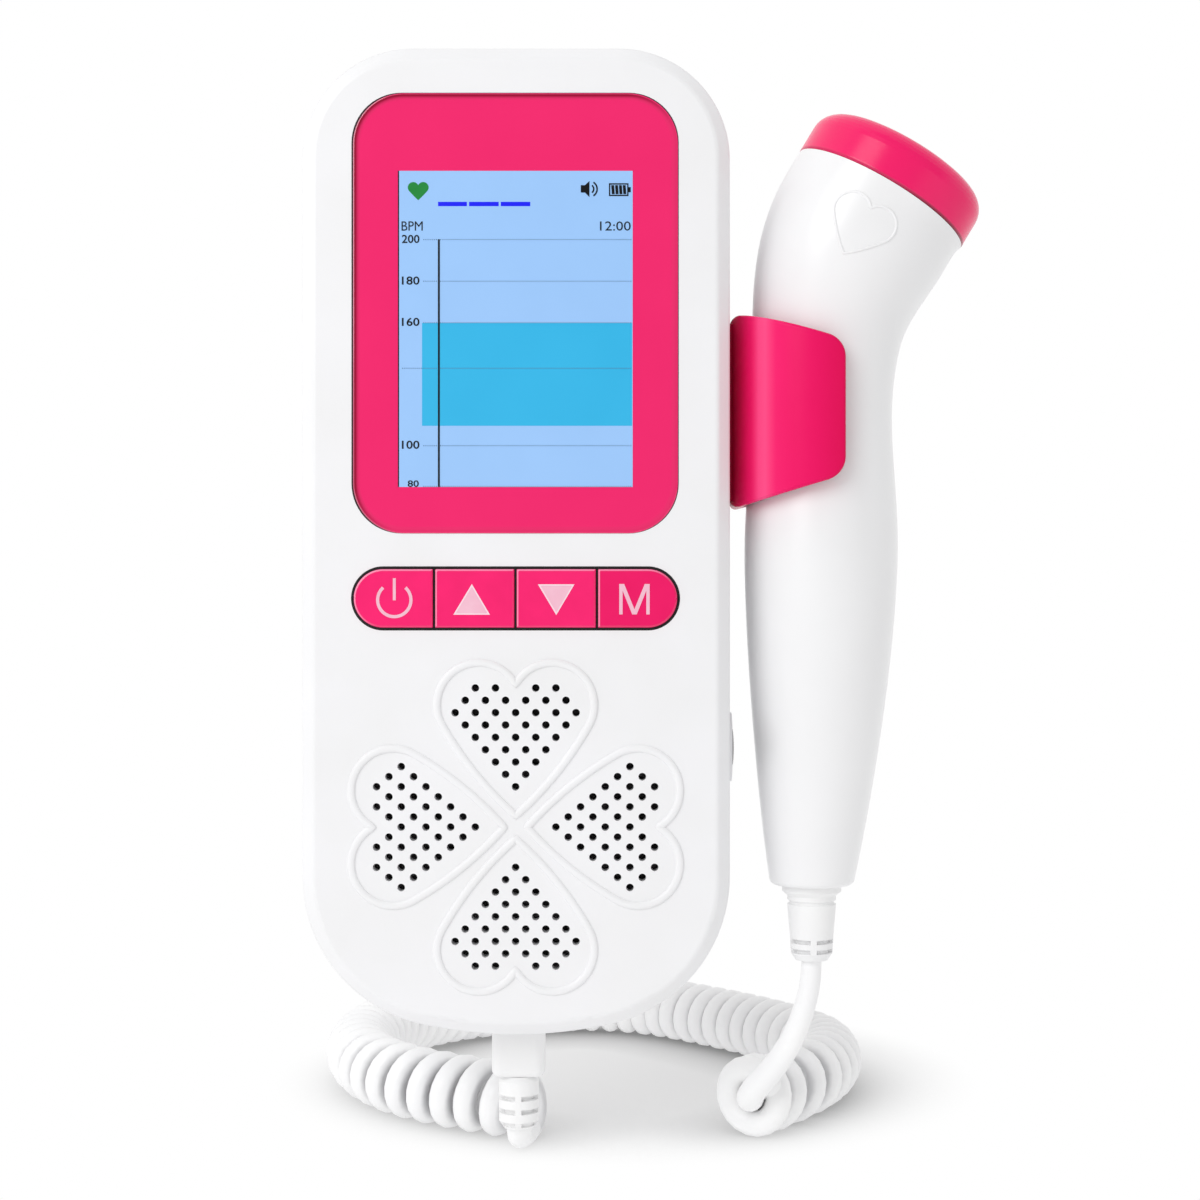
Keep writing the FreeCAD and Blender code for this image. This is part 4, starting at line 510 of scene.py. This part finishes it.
# silicone rubber, compression moulded
rubber_black = moulded("silicone_moulded_black", ("0c0809", "080506"), 0.6, 0.3, 0.01)
# epoxy moulding compound of the chips and switches
epoxy_black = moulded("epoxy_moulded_black", ("1d1d20", "151517"), 0.55, 0.12, 0.006)
# polyamide with glass fibre: the socket's body
jack_black = moulded("polyamide_moulded_black", ("2a2324", "1f1a1b"), 0.45, 0.2, 0.008)
# polyimide film with its copper showing through
ribbon_amber = moulded("polyimide_film_amber", ("b5651f", "9c5216"), 0.3, 1.2, 0.01)
# pressed paper pulp of the speaker's cone
paper_grey = moulded("paper_pressed_grey", ("3a3836", "2b2a29"), 0.85, 0.25, 0.03)
# PVC shrink film round each cell
wrap_film = moulded("pvc_shrink_film_grey", ("4d5560", "444b55"), 0.3, 3.0, 0.01)
# lead zirconate titanate, fired, silvered
ceramic_grey = moulded("pzt_ceramic_silvered", ("b9b6ae", "a9a69d"), 0.45, 0.1, 0.004, Metallic=0.5)
# tungsten-loaded epoxy behind the crystal
backing_grey = moulded("epoxy_cast_tungsten_grey", ("4a4a4c", "3b3b3e"), 0.7, 0.15, 0.01)
# silicone rubber lens on the probe's face, cast smooth
lens_grey = moulded("silicone_cast_pale_grey", ("c3c6c9", "b6babd"), 0.35, 1.5, 0.006)
# carbon steel, zinc plated and tumbled
screw_steel = metal("steel_zinc_plated", ("b9bcc0", "9fa2a7"), 0.32, 0.12, 0.006)
# spring steel, nickel plated
contact_nickel = metal("spring_steel_nickel_plated", ("cfcabd", "b9b4a6"), 0.22, 0.2, 0.004)
# cold-rolled steel, stamped and blackened
stamped_steel = metal("steel_stamped_grey", ("85888d", "6d7075"), 0.4, 0.15, 0.006)


def lit_glass():
    """Display glass and its steel can: nearly black glass with a faint lattice of pixels, 0.15 mm apart."""
    made, tree, shader = start_material("display_glass_bonded", Roughness=0.12)
    place = add(tree, "ShaderNodeTexCoord").outputs["Object"]
    lattice = add(tree, "ShaderNodeTexBrick", {"Vector": place, "Scale": 1.0, "Mortar Size": 0.00002,
                                               "Brick Width": 0.00015, "Row Height": 0.00015}, offset=0.0)
    lattice.inputs["Color1"].default_value = linear("15181d")
    lattice.inputs["Color2"].default_value = linear("191c22")
    lattice.inputs["Mortar"].default_value = linear("0a0b0d")
    tree.links.new(lattice.outputs["Color"], shader.inputs["Base Color"])
    return made


def board_green():
    """Glass-epoxy laminate under green lacquer: copper runs, 0.5 mm wide, show through as lighter steps."""
    made, tree, shader = start_material("fr4_lacquered_green", Roughness=0.3)
    place = add(tree, "ShaderNodeTexCoord").outputs["Object"]
    cells = add(tree, "ShaderNodeTexVoronoi", {"Vector": place, "Scale": 420.0, "Randomness": 0.35},
                distance="MANHATTAN", feature="F1")
    runs = math_of(tree, "GREATER_THAN", cells.outputs["Distance"], 0.42)
    tree.links.new(mixed(tree, runs, linear("0f5a30"), linear("1c7a44")), shader.inputs["Base Color"])
    bump = add(tree, "ShaderNodeBump", {"Height": runs, "Strength": 0.5, "Distance": 0.00003})
    tree.links.new(bump.outputs["Normal"], shader.inputs["Normal"])
    return made


def woven_black():
    """Plain-woven polyester cloth: two crossing sets of threads 0.4 mm apart, very dark grey."""
    made, tree, shader = start_material("polyester_woven_black", Roughness=0.8)
    place = add(tree, "ShaderNodeTexCoord").outputs["Object"]
    thread = 1000.0 / 0.4 / 20.0    # a wave texture repeats 20 times per unit of scale
    warp = add(tree, "ShaderNodeTexWave", {"Vector": place, "Scale": thread}, bands_direction="X")
    weft = add(tree, "ShaderNodeTexWave", {"Vector": place, "Scale": thread}, bands_direction="Z")
    over = math_of(tree, "MULTIPLY", warp.outputs["Fac"], weft.outputs["Fac"])
    tree.links.new(mixed(tree, over, linear("161214"), linear("3a3337")), shader.inputs["Base Color"])
    bump = add(tree, "ShaderNodeBump", {"Height": over, "Strength": 0.6, "Distance": 0.0001})
    tree.links.new(bump.outputs["Normal"], shader.inputs["Normal"])
    return made


finishes = {
    case_white: ("front_shell", "rear_shell", "battery_door"),
    screw_steel: ("case_screw_1", "case_screw_2", "case_screw_3", "case_screw_4",
                  "board_screw_1", "board_screw_2", "board_screw_3", "board_screw_4",
                  "clip_screw_1", "clip_screw_2"),
    panel_pink: ("screen_panel",),
    foam_black: ("display_gasket",),
    lit_glass(): ("lcd_module",),
    inner_white: ("display_frame", "probe_socket"),
    ribbon_amber: ("display_ribbon",),
    key_pink: ("button_power", "button_up", "button_down"),
    mode_pink: ("button_mode",),
    rubber_black: ("keypad_membrane",),
    epoxy_black: ("board_chips", "switch_power", "switch_up", "switch_down", "switch_mode"),
    stamped_steel: ("speaker_frame", "speaker_magnet"),
    board_green(): ("main_board", "probe_board"),
    woven_black(): ("speaker_cloth",),
    paper_grey: ("speaker_cone",),
    wrap_film: ("battery_left", "battery_right"),
    contact_nickel: ("battery_contact_top", "battery_contact_left", "battery_contact_right", "plug_tongue"),
    jack_black: ("earphone_jack",),
    clip_pink_painted_light: ("probe_clip",),
    probe_white: ("probe_shell_front", "probe_shell_rear"),
    cap_pink: ("probe_cap",),
    lens_grey: ("probe_lens",),
    ceramic_grey: ("probe_crystal",),
    backing_grey: ("probe_backing",),
    relief_white: ("probe_strain_relief", "plug_strain_relief", "plug_body"),
    cord_white_painted_fold_shade: ("cord_plug_lead", "cord_coil", "cord_probe_lead"),
}
for material, names in finishes.items():
    for name in names:
        mesh = nodes[name].data
        mesh.materials.clear()
        mesh.materials.append(material)
unfinished = set(nodes) - {name for names in finishes.values() for name in names}
if unfinished:
    raise RuntimeError(f"no finish for {sorted(unfinished)}")

# ---------------------------------------------------------------- curly cord
axis = route(CURL)
along = np.concatenate([[0.0], np.cumsum(np.linalg.norm(np.diff(axis, axis=0), axis=1))])
# turns up to each point: the sum of step / length of one turn there, fitted to CURL_TURNS
turn_length = np.interp(along / along[-1], CURL_SHARES, TURN_LENGTHS)
turned_at = np.concatenate([[0.0], np.cumsum(2 * np.diff(along) / (turn_length[1:] + turn_length[:-1]))])
turned_at *= CURL_TURNS / turned_at[-1]
turned = np.linspace(0.0, CURL_TURNS, int(CURL_TURNS * POINTS_PER_TURN) + 1)
axis = np.stack([np.interp(turned, turned_at, axis[:, k]) for k in range(3)], -1)
turned = turned[:, None]
widening = np.clip(turned - (CURL_TURNS - WIDENING_TURNS), 0.0, 1.0)
widening = widening ** 2 * (3 - 2 * widening)
stretch = np.interp(turned / CURL_TURNS, STRETCH_SHARES, STRETCHES)
curl_r = CURL_R + (FAR_CURL_R - CURL_R) * stretch + (END_CURL_R - CURL_R) * widening
curl_cord_r = CORD_R + (END_CORD_R - CORD_R) * widening
across = unit(np.cross(np.gradient(axis, axis=0), (0.0, 0.0, 1.0)))
up = np.array((0.0, 0.0, 1.0))
# the curl is axis + r * (across * sin a - up * cos a), raised where it widens to stay on the floor
axis = axis + up * (curl_r - CURL_R + curl_cord_r - CORD_R)
curl = axis + curl_r * (across * np.sin(TURN * turned) - up * np.cos(TURN * turned))
plug_lead, probe_lead = lead_points(PLUG_LEAD)[:-1], lead_points(PROBE_LEAD)[1:]
cord_path = np.concatenate([plug_lead, curl, probe_lead])
probe_lead_r = np.interp(np.linspace(0.0, 1.0, len(probe_lead)), LEAD_SHARES, LEAD_RADII)
cord_r = np.concatenate([np.full(len(plug_lead), CORD_R), curl_cord_r[:, 0], probe_lead_r])
cord_points, cord_faces = tube_mesh(cord_path, cord_r, CORD_SIDES)
cord = put_mesh("curly_cord", cord_points, cord_faces, None, cord_white_painted_fold_shade)
# painted shade in the folds, where a turn's surface looks along the curl's axis at the turn beside it
offsets = unit(cord_points.reshape(len(cord_path), -1, 3) - cord_path[:, None])
axis_run = np.zeros((len(cord_path), 1, 3))
axis_run[len(plug_lead):len(plug_lead) + len(curl), 0] = unit(np.gradient(axis, axis=0))
sideways = np.abs((offsets * axis_run).sum(-1))
painted_fold_shade = np.concatenate([np.zeros(len(plug_lead)),
                         np.clip(CURL_TURNS - FOLDLESS_TURNS - turned[:, 0], 0.0, 1.0),
                         np.zeros(len(probe_lead))])
put_shares(cord, np.clip((sideways - FOLD_FROM) / FOLD_RANGE, 0.0, FOLD_LIMIT) * painted_fold_shade[:, None])
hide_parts("cord_plug_lead", "cord_coil", "cord_probe_lead")
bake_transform(cord)
cord_length = np.linalg.norm(np.diff(cord_path, axis=0), axis=1).sum() * MM
print(f"cord length {cord_length:.4f} m")

# ---------------------------------------------------------------- hearts
def turned_by(outline, degrees):
    """An outline of (x, z) turned anticlockwise round the origin."""
    angle = math.radians(degrees)
    return outline @ np.array([(math.cos(angle), math.sin(angle)), (-math.sin(angle), math.cos(angle))])


outline = heart(HEART_WIDTH, HEART_HEIGHT, HEART_NOTCH, HEART_HALF_ANGLE) + (0.0, HEART_TIP_OFFSET)
for quarter in range(4):
    points, faces = bead(turned_by(outline, 90 * quarter) + (0.0, CLOVER_Z), FACE_Y, BEAD_WIDTH, BEAD_HEIGHT)
    put_mesh(f"heart_bead_{quarter + 1}", points, faces, "monitor", case_white)

# on the probe: a smaller, thinner one that leans with the head, laid on the shell's own surface
probe_mesh = nodes["probe_shell_front"].data
corners = np.empty(len(probe_mesh.vertices) * 3)
probe_mesh.vertices.foreach_get("co", corners)
probe_surface = BVHTree.FromPolygons((corners.reshape(-1, 3) / MM).tolist(),
                                     [tuple(face.vertices) for face in probe_mesh.polygons])
small = heart(*PROBE_HEART, PROBE_HEART_NOTCH, PROBE_HEART_HALF_ANGLE, 30)
small = turned_by(small, PROBE_HEART_LEAN) + PROBE_HEART_TIP
ray_start_y, inwards = FACE_Y - 10.0, Vector((0.0, 1.0, 0.0))
hits = [probe_surface.ray_cast(Vector((x, ray_start_y, z)), inwards)[0].y for x, z in small]
points, faces = bead(small, np.array(hits), PROBE_BEAD_WIDTH, PROBE_BEAD_HEIGHT)
put_mesh("heart_bead_probe", points, faces, "probe", probe_white)

# ---------------------------------------------------------------- painted shade along the seam round the probe's cap
cap_shade = fading("abs_moulded_cap_painted_seam_shade", CAP_SHADES, "7c0a2e", 0.24)
tilt, ring = math.radians(HEAD_TILT), np.linspace(0.0, TURN, 96, endpoint=False)[:, None]
out = np.array((math.sin(tilt), 0.0, math.cos(tilt)))
side = np.array((math.cos(tilt), 0.0, -math.sin(tilt)))
round_cap = side * np.cos(ring) + np.array((0.0, 1.0, 0.0)) * np.sin(ring)
# three circles on the cap's lower bevel, as radius and height, and each one's share of the seam's painted
# shade
SEAM_CIRCLES = ((CAP_R - 0.3, 0.01), (CAP_R + 0.02, 0.33), (CAP_R + 0.02, 0.6))
SEAM_SHARES = np.array((1.0, 0.8, 0.0))
seam_points = [np.array(CAP_CENTRE) + round_cap * radius + out * height for radius, height in SEAM_CIRCLES]
# painted shade, darkest on the side away from the lamp
away_share = 0.35 + 0.65 * np.clip(0.5 + np.cos(ring.ravel()), 0.0, 1.0)
seam_faces = grid_faces(len(SEAM_CIRCLES), len(ring), loop_columns=True)
cap_painted_seam_shade = put_mesh("cap_painted_seam_shade", np.concatenate(seam_points), seam_faces, "probe", cap_shade)
put_shares(cap_painted_seam_shade, SEAM_SHARES[:, None] * away_share)

# ---------------------------------------------------------------- painted shade and highlights along the edges of the panel and of the keys
seam_black_and_painted_shadow = moulded("pe_adhesive_film_and_painted_gap_shadow", ("2a0a12", "22080f"), 0.6, 0.3, 0.004)
painted_gap_shadow = moulded("silicone_painted_gap_shadow", ("0b0305", "070203"), 0.6, 0.3, 0.004)
panel_painted_shadow = fading("acrylic_pink_painted_edge_shadow", PANEL_SHADES, "94022e", 0.16, Coat_Weight=0.2,
                    Coat_Roughness=0.05)
left, right, bottom, top = PANEL


def panel_outline(inset):
    """The panel's outline, that much further in."""
    return rounded(left + inset, right - inset, bottom + inset, top - inset, *(PANEL_CORNER - inset,) * 4)


# a dark film along the gap round the panel, partly its black joint and partly painted shadow, wider on the
# left and the top
seam = rounded(left - 0.34, right + 0.2, bottom - 0.1, top + 0.18, *(PANEL_CORNER,) * 4)
strip("panel_seam_painted_shadow", [seam, panel_outline(-0.06)], [FACE_Y - 0.01, FACE_Y - 0.02], "monitor", seam_black_and_painted_shadow)
insets = np.array((0.07, 0.16, 0.32, 0.5, 0.7, 0.95))
loops = np.array([panel_outline(inset) for inset in insets])
run = unit(np.roll(loops[0], -1, 0) - np.roll(loops[0], 1, 0))
# painted shadow along the panel's edge, strongest on the left and the top: share across x share round
facing = np.clip(0.5 + 0.75 * (run[:, 1] * -0.75 + run[:, 0] * -0.66), 0.12, 1.0)
across_share = np.array((0.75, 1.0, 0.95, 0.55, 0.22, 0.0))
strip("panel_painted_edge_shadow", loops, np.full(len(insets), PANEL_Y - 0.01), "monitor", panel_painted_shadow,
      across_share[:, None] * facing)
# painted highlight on the polished corner between the panel's front and its side, paler where it faces the
# light
panel_corner_painted_highlight = fading("acrylic_corner_painted_highlight", PANEL_SHADES, "c8607c", 0.12, Coat_Weight=0.2,
                      Coat_Roughness=0.05)
facing = np.clip(0.2 + 0.95 * run[:, 1] * -0.95 + 0.2 * run[:, 0] * -0.3, 0.1, 1.0)
strip("panel_corner_painted_highlight", [panel_outline(-0.08), panel_outline(0.08)], [PANEL_Y + 0.02, PANEL_Y - 0.02],
      "monitor", panel_corner_painted_highlight, np.ones((2, 1)) * facing)

left, right, bottom, top = SLOT
slot_r = (top - bottom) / 2
# a black silicone web raised to the face over the key gaps, also standing in as painted shadow in the gaps
GAP_SHADOW_Y = FACE_Y - 0.02
outer = rounded(left - 0.06, right + 0.06, bottom - 0.06, top + 0.06, *(slot_r + 0.06,) * 4)
inner = rounded(left + 0.36, right - 0.36, bottom + 0.36, top - 0.36, *(slot_r - 0.36,) * 4)
strip("key_gap_shadow_round", [outer, inner], [GAP_SHADOW_Y, GAP_SHADOW_Y], "monitor", painted_gap_shadow)
key_lefts = left + KEY_GAP + (KEY_WIDTH + KEY_GAP) * np.arange(len(KEYS))
gap_shadow_bars = [rectangle(x - KEY_GAP + 0.03, x - 0.03, bottom + 0.3, top - 0.3) for x in key_lefts[1:]]
print_on("key_gap_shadow_bars", gap_shadow_bars, GAP_SHADOW_Y, "monitor", painted_gap_shadow)
# painted highlight along each key's rounded edge, lightest on the left and the top, where it faces the lamp
key_edge_painted_highlight = fading("abs_moulded_gloss_pink_painted_edge_highlight", KEY_SHADES, "ff9fc4", 0.2)
mode_edge_painted_highlight = fading("abs_moulded_gloss_deep_pink_painted_edge_highlight", MODE_SHADES, "ff9fc4", 0.2)
EDGE_ANGLES = (12, 30, 48, 66, 84)              # degrees round the edge, from the key's side to its front
EDGE_SHARES = np.array((0.2, 0.7, 1.0, 0.7, 0.1))
KEY_FRONT_CORNER = 0.12                         # radius of the square corners of a key's outline
for key, start in zip(KEYS, key_lefts):
    loops, depths = [], []
    # the strip lies on the key's rounded edge: inset and depth go round a quarter circle of radius KEY_CORNER
    for angle in np.radians(EDGE_ANGLES):
        inset = KEY_CORNER - (KEY_CORNER + INK) * math.cos(angle)
        depths.append(KEY_Y + KEY_CORNER - (KEY_CORNER + INK) * math.sin(angle))
        end_r = slot_r - KEY_GAP - inset
        left_r = end_r if key == KEYS[0] else KEY_FRONT_CORNER
        right_r = end_r if key == KEYS[-1] else KEY_FRONT_CORNER
        loops.append(rounded(start + inset, start + KEY_WIDTH - inset, bottom + KEY_GAP + inset,
                             top - KEY_GAP - inset, left_r, right_r, right_r, left_r))
    run = unit(np.roll(loops[0], -1, 0) - np.roll(loops[0], 1, 0))
    facing = np.clip(0.35 + 0.7 * (run[:, 1] * -0.75 + run[:, 0] * -0.66), 0.0, 0.85)
    fade = mode_edge_painted_highlight if key == "mode" else key_edge_painted_highlight
    strip(f"key_{key}_edge", loops, depths, f"key_{key}", fade, EDGE_SHARES[:, None] * facing)

# ---------------------------------------------------------------- screen picture
sky = printed("lcd_lit_pale_blue", ("8db4e1", "8fb6e3"), 0.25, 0.25, patch=9.0)
teal = printed("lcd_lit_teal", ("2ca4d1", "2ea6d3"), 0.25, 0.25, patch=9.0)
lcd_black = printed("lcd_black_pixels", ("05070b", "090b10"), 0.3, 0.0)
lcd_grey = printed("lcd_dotted_grey", ("56789c", "4f7094"), 0.3, 0.0)
lcd_blue = printed("lcd_lit_blue", ("040adf", "060ce0"), 0.3, 0.25)
lcd_green = printed("lcd_lit_green", ("127a2f", "177f34"), 0.3, 0.2)
pale_pink = printed("silk_screened_pale_pink", ("f3bfd1", "f0b6ca"), 0.45, 0.0)
rim_pink = printed("silk_screened_pale_pink_rim", ("fadce6", "f8d6e2"), 0.45, 0.0)

LAYER_1, LAYER_2, LAYER_3, LAYER_4 = (PANEL_Y - INK * k for k in (1, 2, 3, 4))


def on_screen(name, outlines, y, material):
    """Part of the lit picture."""
    return print_on(name, outlines, y, "monitor", material)


on_screen("screen_picture", [rectangle(*SCREEN)], LAYER_1, sky)
on_screen("screen_left_shadow", [rectangle(SCREEN[0] - 0.12, SCREEN[0] + 0.06, SCREEN[2], SCREEN[3])],
          LAYER_2, lcd_black)
on_screen("screen_normal_band", [rectangle(-14.6, 18.2, 18.02, 34.08)], LAYER_2, teal)
# dotted lines of the scale, as height and left end
LINES = ((47.1, -14.4), (40.6, -14.4), (34.1, -14.4), (27.0, -17.7), (14.9, -14.4), (8.55, -14.4))
LINES_RIGHT = 18.2
DOT, DOT_PITCH = 0.14, 0.33
dots = [rectangle(x, x + DOT, z - DOT / 2, z + DOT / 2)
        for z, line_left in LINES for x in np.arange(line_left, LINES_RIGHT, DOT_PITCH)]
on_screen("screen_scale_lines", dots, LAYER_3, lcd_grey)
on_screen("screen_cursor", [rectangle(-12.12, -11.82, 8.46, 47.15)], LAYER_4, lcd_black)
reading_bars = [rectangle(-12.1, -7.6, 52.33, 53.0), rectangle(-7.25, -2.63, 52.33, 53.0),
                rectangle(-2.3, 2.3, 52.33, 53.0)]
on_screen("screen_reading_bars", reading_bars, LAYER_2, lcd_blue)
small_heart = heart(3.25, 2.85, 0.5, 47.0, 20)
on_screen("screen_heart", [small_heart + (-15.2, 53.25)], LAYER_2, lcd_green)
# lettering on the screen: name, words, left, right, bottom, top, and how much its strokes are thickened
BOLD = 0.014
LETTERING = [(f"number_{number}", str(number), -17.75, -15.0, z - 0.65, z + 0.65, BOLD)
             for number, z in ((200, 47.2), (180, 40.7), (160, 34.25), (100, 15.05))]
LETTERING += [("number_80", "80", -16.85, -15.1, SCREEN[2], 9.5, BOLD),
              ("label_left", "BPM", -17.8, -14.5, 48.5, 49.95, 0.0),
              ("label_right", "12:00", 13.2, 18.0, 48.5, 49.95, 0.0)]
for name, words, left, right, bottom, top, bold in LETTERING:
    print_words(f"screen_{name}", words, left, right, bottom, top, LAYER_3, "monitor", lcd_black,
                bold)
on_screen("screen_speaker_icon", [
    [(10.2, 54.45), (10.85, 54.45), (11.55, 53.75), (11.55, 56.25), (10.85, 55.6), (10.2, 55.6)],
    band(arc(11.5, 55.0, 0.72, -52, 52, 12), 0.24),
    band(arc(11.5, 55.0, 1.25, -58, 58, 16), 0.24)], LAYER_3, lcd_black)
battery_frame = [[(14.7, 54.0), (14.7, 55.8)], [(17.55, 54.0), (17.55, 55.8)],
                 [(14.6, 55.8), (17.65, 55.8)], [(14.6, 54.0), (17.65, 54.0)]]
battery_bars = [np.array([(x, 54.2), (x + 0.45, 54.2), (x + 0.35, 55.6), (x - 0.1, 55.6)])
                for x in (15.05, 15.65, 16.25, 16.85)]
on_screen("screen_battery_icon", [band(line, 0.2) for line in battery_frame]
          + [rectangle(17.65, 18.0, 54.5, 55.3)] + battery_bars, LAYER_3, lcd_black)

# ---------------------------------------------------------------- key symbols
SYMBOL_Y = KEY_Y - INK
power_x, power_z, power_r = -18.9, -9.2, 2.6
up_arrow = np.array([(-9.7, -11.5), (-3.97, -11.5), (-6.8, -6.7)])
down_arrow = np.array([(3.5, -6.75), (6.37, -11.55), (9.22, -6.75)])
m_left, m_right, m_bottom, m_top, stroke = 16.2, 20.95, -11.45, -6.7, 0.62
m_middle = (m_left + m_right) / 2
half_m = np.array([(m_left, m_bottom), (m_left, m_top), (m_left + 1.25 * stroke, m_top),
                   (m_middle, m_bottom + 1.3 * stroke)])
inner_m = np.array([(m_middle, m_bottom), (m_middle - 0.35, m_bottom),
                    (m_left + 0.85 * stroke, m_top - 1.7 * stroke), (m_left + 0.85 * stroke, m_bottom)])
half_m = np.concatenate([half_m, inner_m])
letter_m = [half_m, half_m * (-1, 1) + (2 * m_middle, 0.0)]


def shrunk(triangle, share):
    """A triangle drawn in towards its middle."""
    return triangle.mean(0) + (triangle - triangle.mean(0)) * share


def symbol(name, rim, fill, body):
    """Printed symbol: a slightly lighter print, and the main one on it."""
    if rim:
        print_on(f"symbol_{name}_rim", rim, SYMBOL_Y, body, rim_pink)
    print_on(f"symbol_{name}", fill, SYMBOL_Y - INK / 2, body, pale_pink)


symbol("power", [], [band(arc(power_x, power_z, power_r, 132, 408, 60), 0.5),
                     rectangle(power_x - 0.23, power_x + 0.23, power_z - 0.05, power_z + 3.4)], "key_power")
symbol("up", [up_arrow], [shrunk(up_arrow, 0.86)], "key_up")
symbol("down", [down_arrow], [shrunk(down_arrow, 0.86)], "key_down")
symbol("mode", [], letter_m, "key_mode")

# ---------------------------------------------------------------- floor, light, camera
WHITE = (1.0, 1.0, 1.0, 1.0)
# how strongly the world lights matt surfaces, from -Y and from elsewhere
FRONT_LEVEL, BACK_LEVEL = 0.62, 0.87
GLOSS_LEVEL = 0.12                      # the same for glossy rays that look towards -Y
STAND = (18.0, 45.0)                    # middle of the place where the object stands, on the floor
NEAR_REACH, OPEN_REACH = 38.0, 68.0     # from there, where the plain white begins and where it is whole
NEAR_SHARE = 0.1                        # how much of the plain white there is where the object stands
BOUNCE, BOUNCE_SHARE = 1.25, 0.36       # the paper's light on what stands on it, and how much is mixed in
BOUNCE_REACH, BOUNCE_END = 80.0, 300.0  # from the same place, where that begins to fade and where it ends
# the paper's painted corner shade, seen by the camera only
OPEN_SHADE, CORNER_SHADE = 0.88, 0.2    # how white the paper looks in the open, and in a corner
CORNER_REACH = 14.0                     # how far from what stands on it a corner's shade reaches
stage_white = bpy.data.materials.new("paper_backdrop_white")
stage_white.use_nodes = True
tree = stage_white.node_tree
tree.nodes.clear()
seen, _ = ray_kinds(tree)
place = add(tree, "ShaderNodeTexCoord").outputs["Object"]
from_stand = add(tree, "ShaderNodeVectorMath", {0: place, 1: (1.0, 1.0, 0.0),
                                                2: (-STAND[0] * MM, -STAND[1] * MM, 0.0)},
                 operation="MULTIPLY_ADD")
away = add(tree, "ShaderNodeVectorMath", {0: from_stand.outputs["Vector"]},
           operation="LENGTH").outputs["Value"]
grain = add(tree, "ShaderNodeTexNoise", {"Vector": place, "Scale": 900.0, "Detail": 2.0})
paper = mixed(tree, grain.outputs["Fac"], linear("f3f3f3"), linear("f1f1f1"))
# painted shade: the camera sees the paper darker right beside what touches it, as far as the occlusion there
# reaches
corner = add(tree, "ShaderNodeAmbientOcclusion", {"Distance": CORNER_REACH * MM})
corner = ranged(tree, corner.outputs["AO"], 0.0, 1.0, CORNER_SHADE, OPEN_SHADE)
matt = add(tree, "ShaderNodeBsdfDiffuse", {"Color": mixed(tree, seen, paper, corner)})
white = add(tree, "ShaderNodeEmission", {"Color": WHITE, "Strength": 1.0})
far = ranged(tree, away, NEAR_REACH * MM, OPEN_REACH * MM, NEAR_SHARE, 1.0, "SMOOTHSTEP")
surface = add(tree, "ShaderNodeMixShader", {0: math_of(tree, "MULTIPLY", far, seen), 1: matt.outputs["BSDF"],
                                            2: white.outputs["Emission"]})
# light that the paper throws on low parts of the object, for the other kinds of ray only
near = ranged(tree, away, BOUNCE_REACH * MM, BOUNCE_END * MM, BOUNCE_SHARE, 0.0, "SMOOTHSTEP")
near = math_of(tree, "MULTIPLY", near, math_of(tree, "SUBTRACT", 1.0, seen))
glow = add(tree, "ShaderNodeEmission", {"Color": WHITE, "Strength": BOUNCE})
surface = add(tree, "ShaderNodeMixShader", {0: near, 1: surface.outputs["Shader"],
                                            2: glow.outputs["Emission"]})
add(tree, "ShaderNodeOutputMaterial", {"Surface": surface.outputs["Shader"]})
FLOOR_HALF = 4000.0
floor_corners = np.insert(rectangle(-FLOOR_HALF, FLOOR_HALF, -FLOOR_HALF, FLOOR_HALF), 2, FLOOR_Z, axis=1)
floor = put_mesh("paper_floor", floor_corners, [[0, 1, 2, 3]], None, stage_white, smooth=False)

world = bpy.data.worlds.new("soft_studio")
bpy.context.scene.world = world
world.cycles.sampling_method = "NONE"   # so that glossy rays see the world as it is set for them
world.use_nodes = True
tree = world.node_tree
tree.nodes.clear()
seen, glossy = ray_kinds(tree)
looking = add(tree, "ShaderNodeTexCoord").outputs["Generated"]
front = add(tree, "ShaderNodeVectorMath", {0: looking, 1: (0.0, -1.0, 0.0)},
            operation="DOT_PRODUCT").outputs["Value"]
lit = ranged(tree, front, 0.0, 0.7, BACK_LEVEL, FRONT_LEVEL)
level = ranged(tree, seen, 0.0, 1.0, lit, 1.0)
# the room in front is dark for glossy rays, so that glossy faces keep their colour
flag = math_of(tree, "MULTIPLY", ranged(tree, front, 0.15, 0.5, 0.0, 1.0, "SMOOTHSTEP"), glossy)
strength = math_of(tree, "MULTIPLY", level, ranged(tree, flag, 0.0, 1.0, 1.0, GLOSS_LEVEL))
back = add(tree, "ShaderNodeBackground", {"Color": WHITE, "Strength": strength})
add(tree, "ShaderNodeOutputWorld", {"Surface": back.outputs["Background"]})

TO_LIGHT = Vector((-0.51, -0.73, 0.44))
LIGHT_DISTANCE, LIGHT_SIZE = 0.9, 0.6   # metres
LIGHT_POWER = 3.1                       # watts
softbox = bpy.data.lights.new("softbox", "AREA")
softbox.shape, softbox.size, softbox.energy = "DISK", LIGHT_SIZE, LIGHT_POWER
lamp = bpy.data.objects.new("softbox", softbox)
bpy.context.scene.collection.objects.link(lamp)
lamp.location = TO_LIGHT.normalized() * LIGHT_DISTANCE
lamp.rotation_mode = "QUATERNION"
lamp.rotation_quaternion = TO_LIGHT.to_track_quat("Z", "Y")

CAMERA_PLACE = (0.0132, -0.353, -0.0092)
FOCAL_LENGTH, SENSOR_WIDTH = 62.0, 36.0
lens = bpy.data.cameras.new("camera")
lens.lens, lens.sensor_width, lens.clip_start, lens.clip_end = FOCAL_LENGTH, SENSOR_WIDTH, 0.01, 20.0
camera = bpy.data.objects.new("camera", lens)
bpy.context.scene.collection.objects.link(camera)
camera.location = CAMERA_PLACE
camera.rotation_euler = (math.radians(90.0), 0.0, 0.0)
bpy.context.scene.camera = camera
bpy.context.scene.view_settings.view_transform = "Standard"
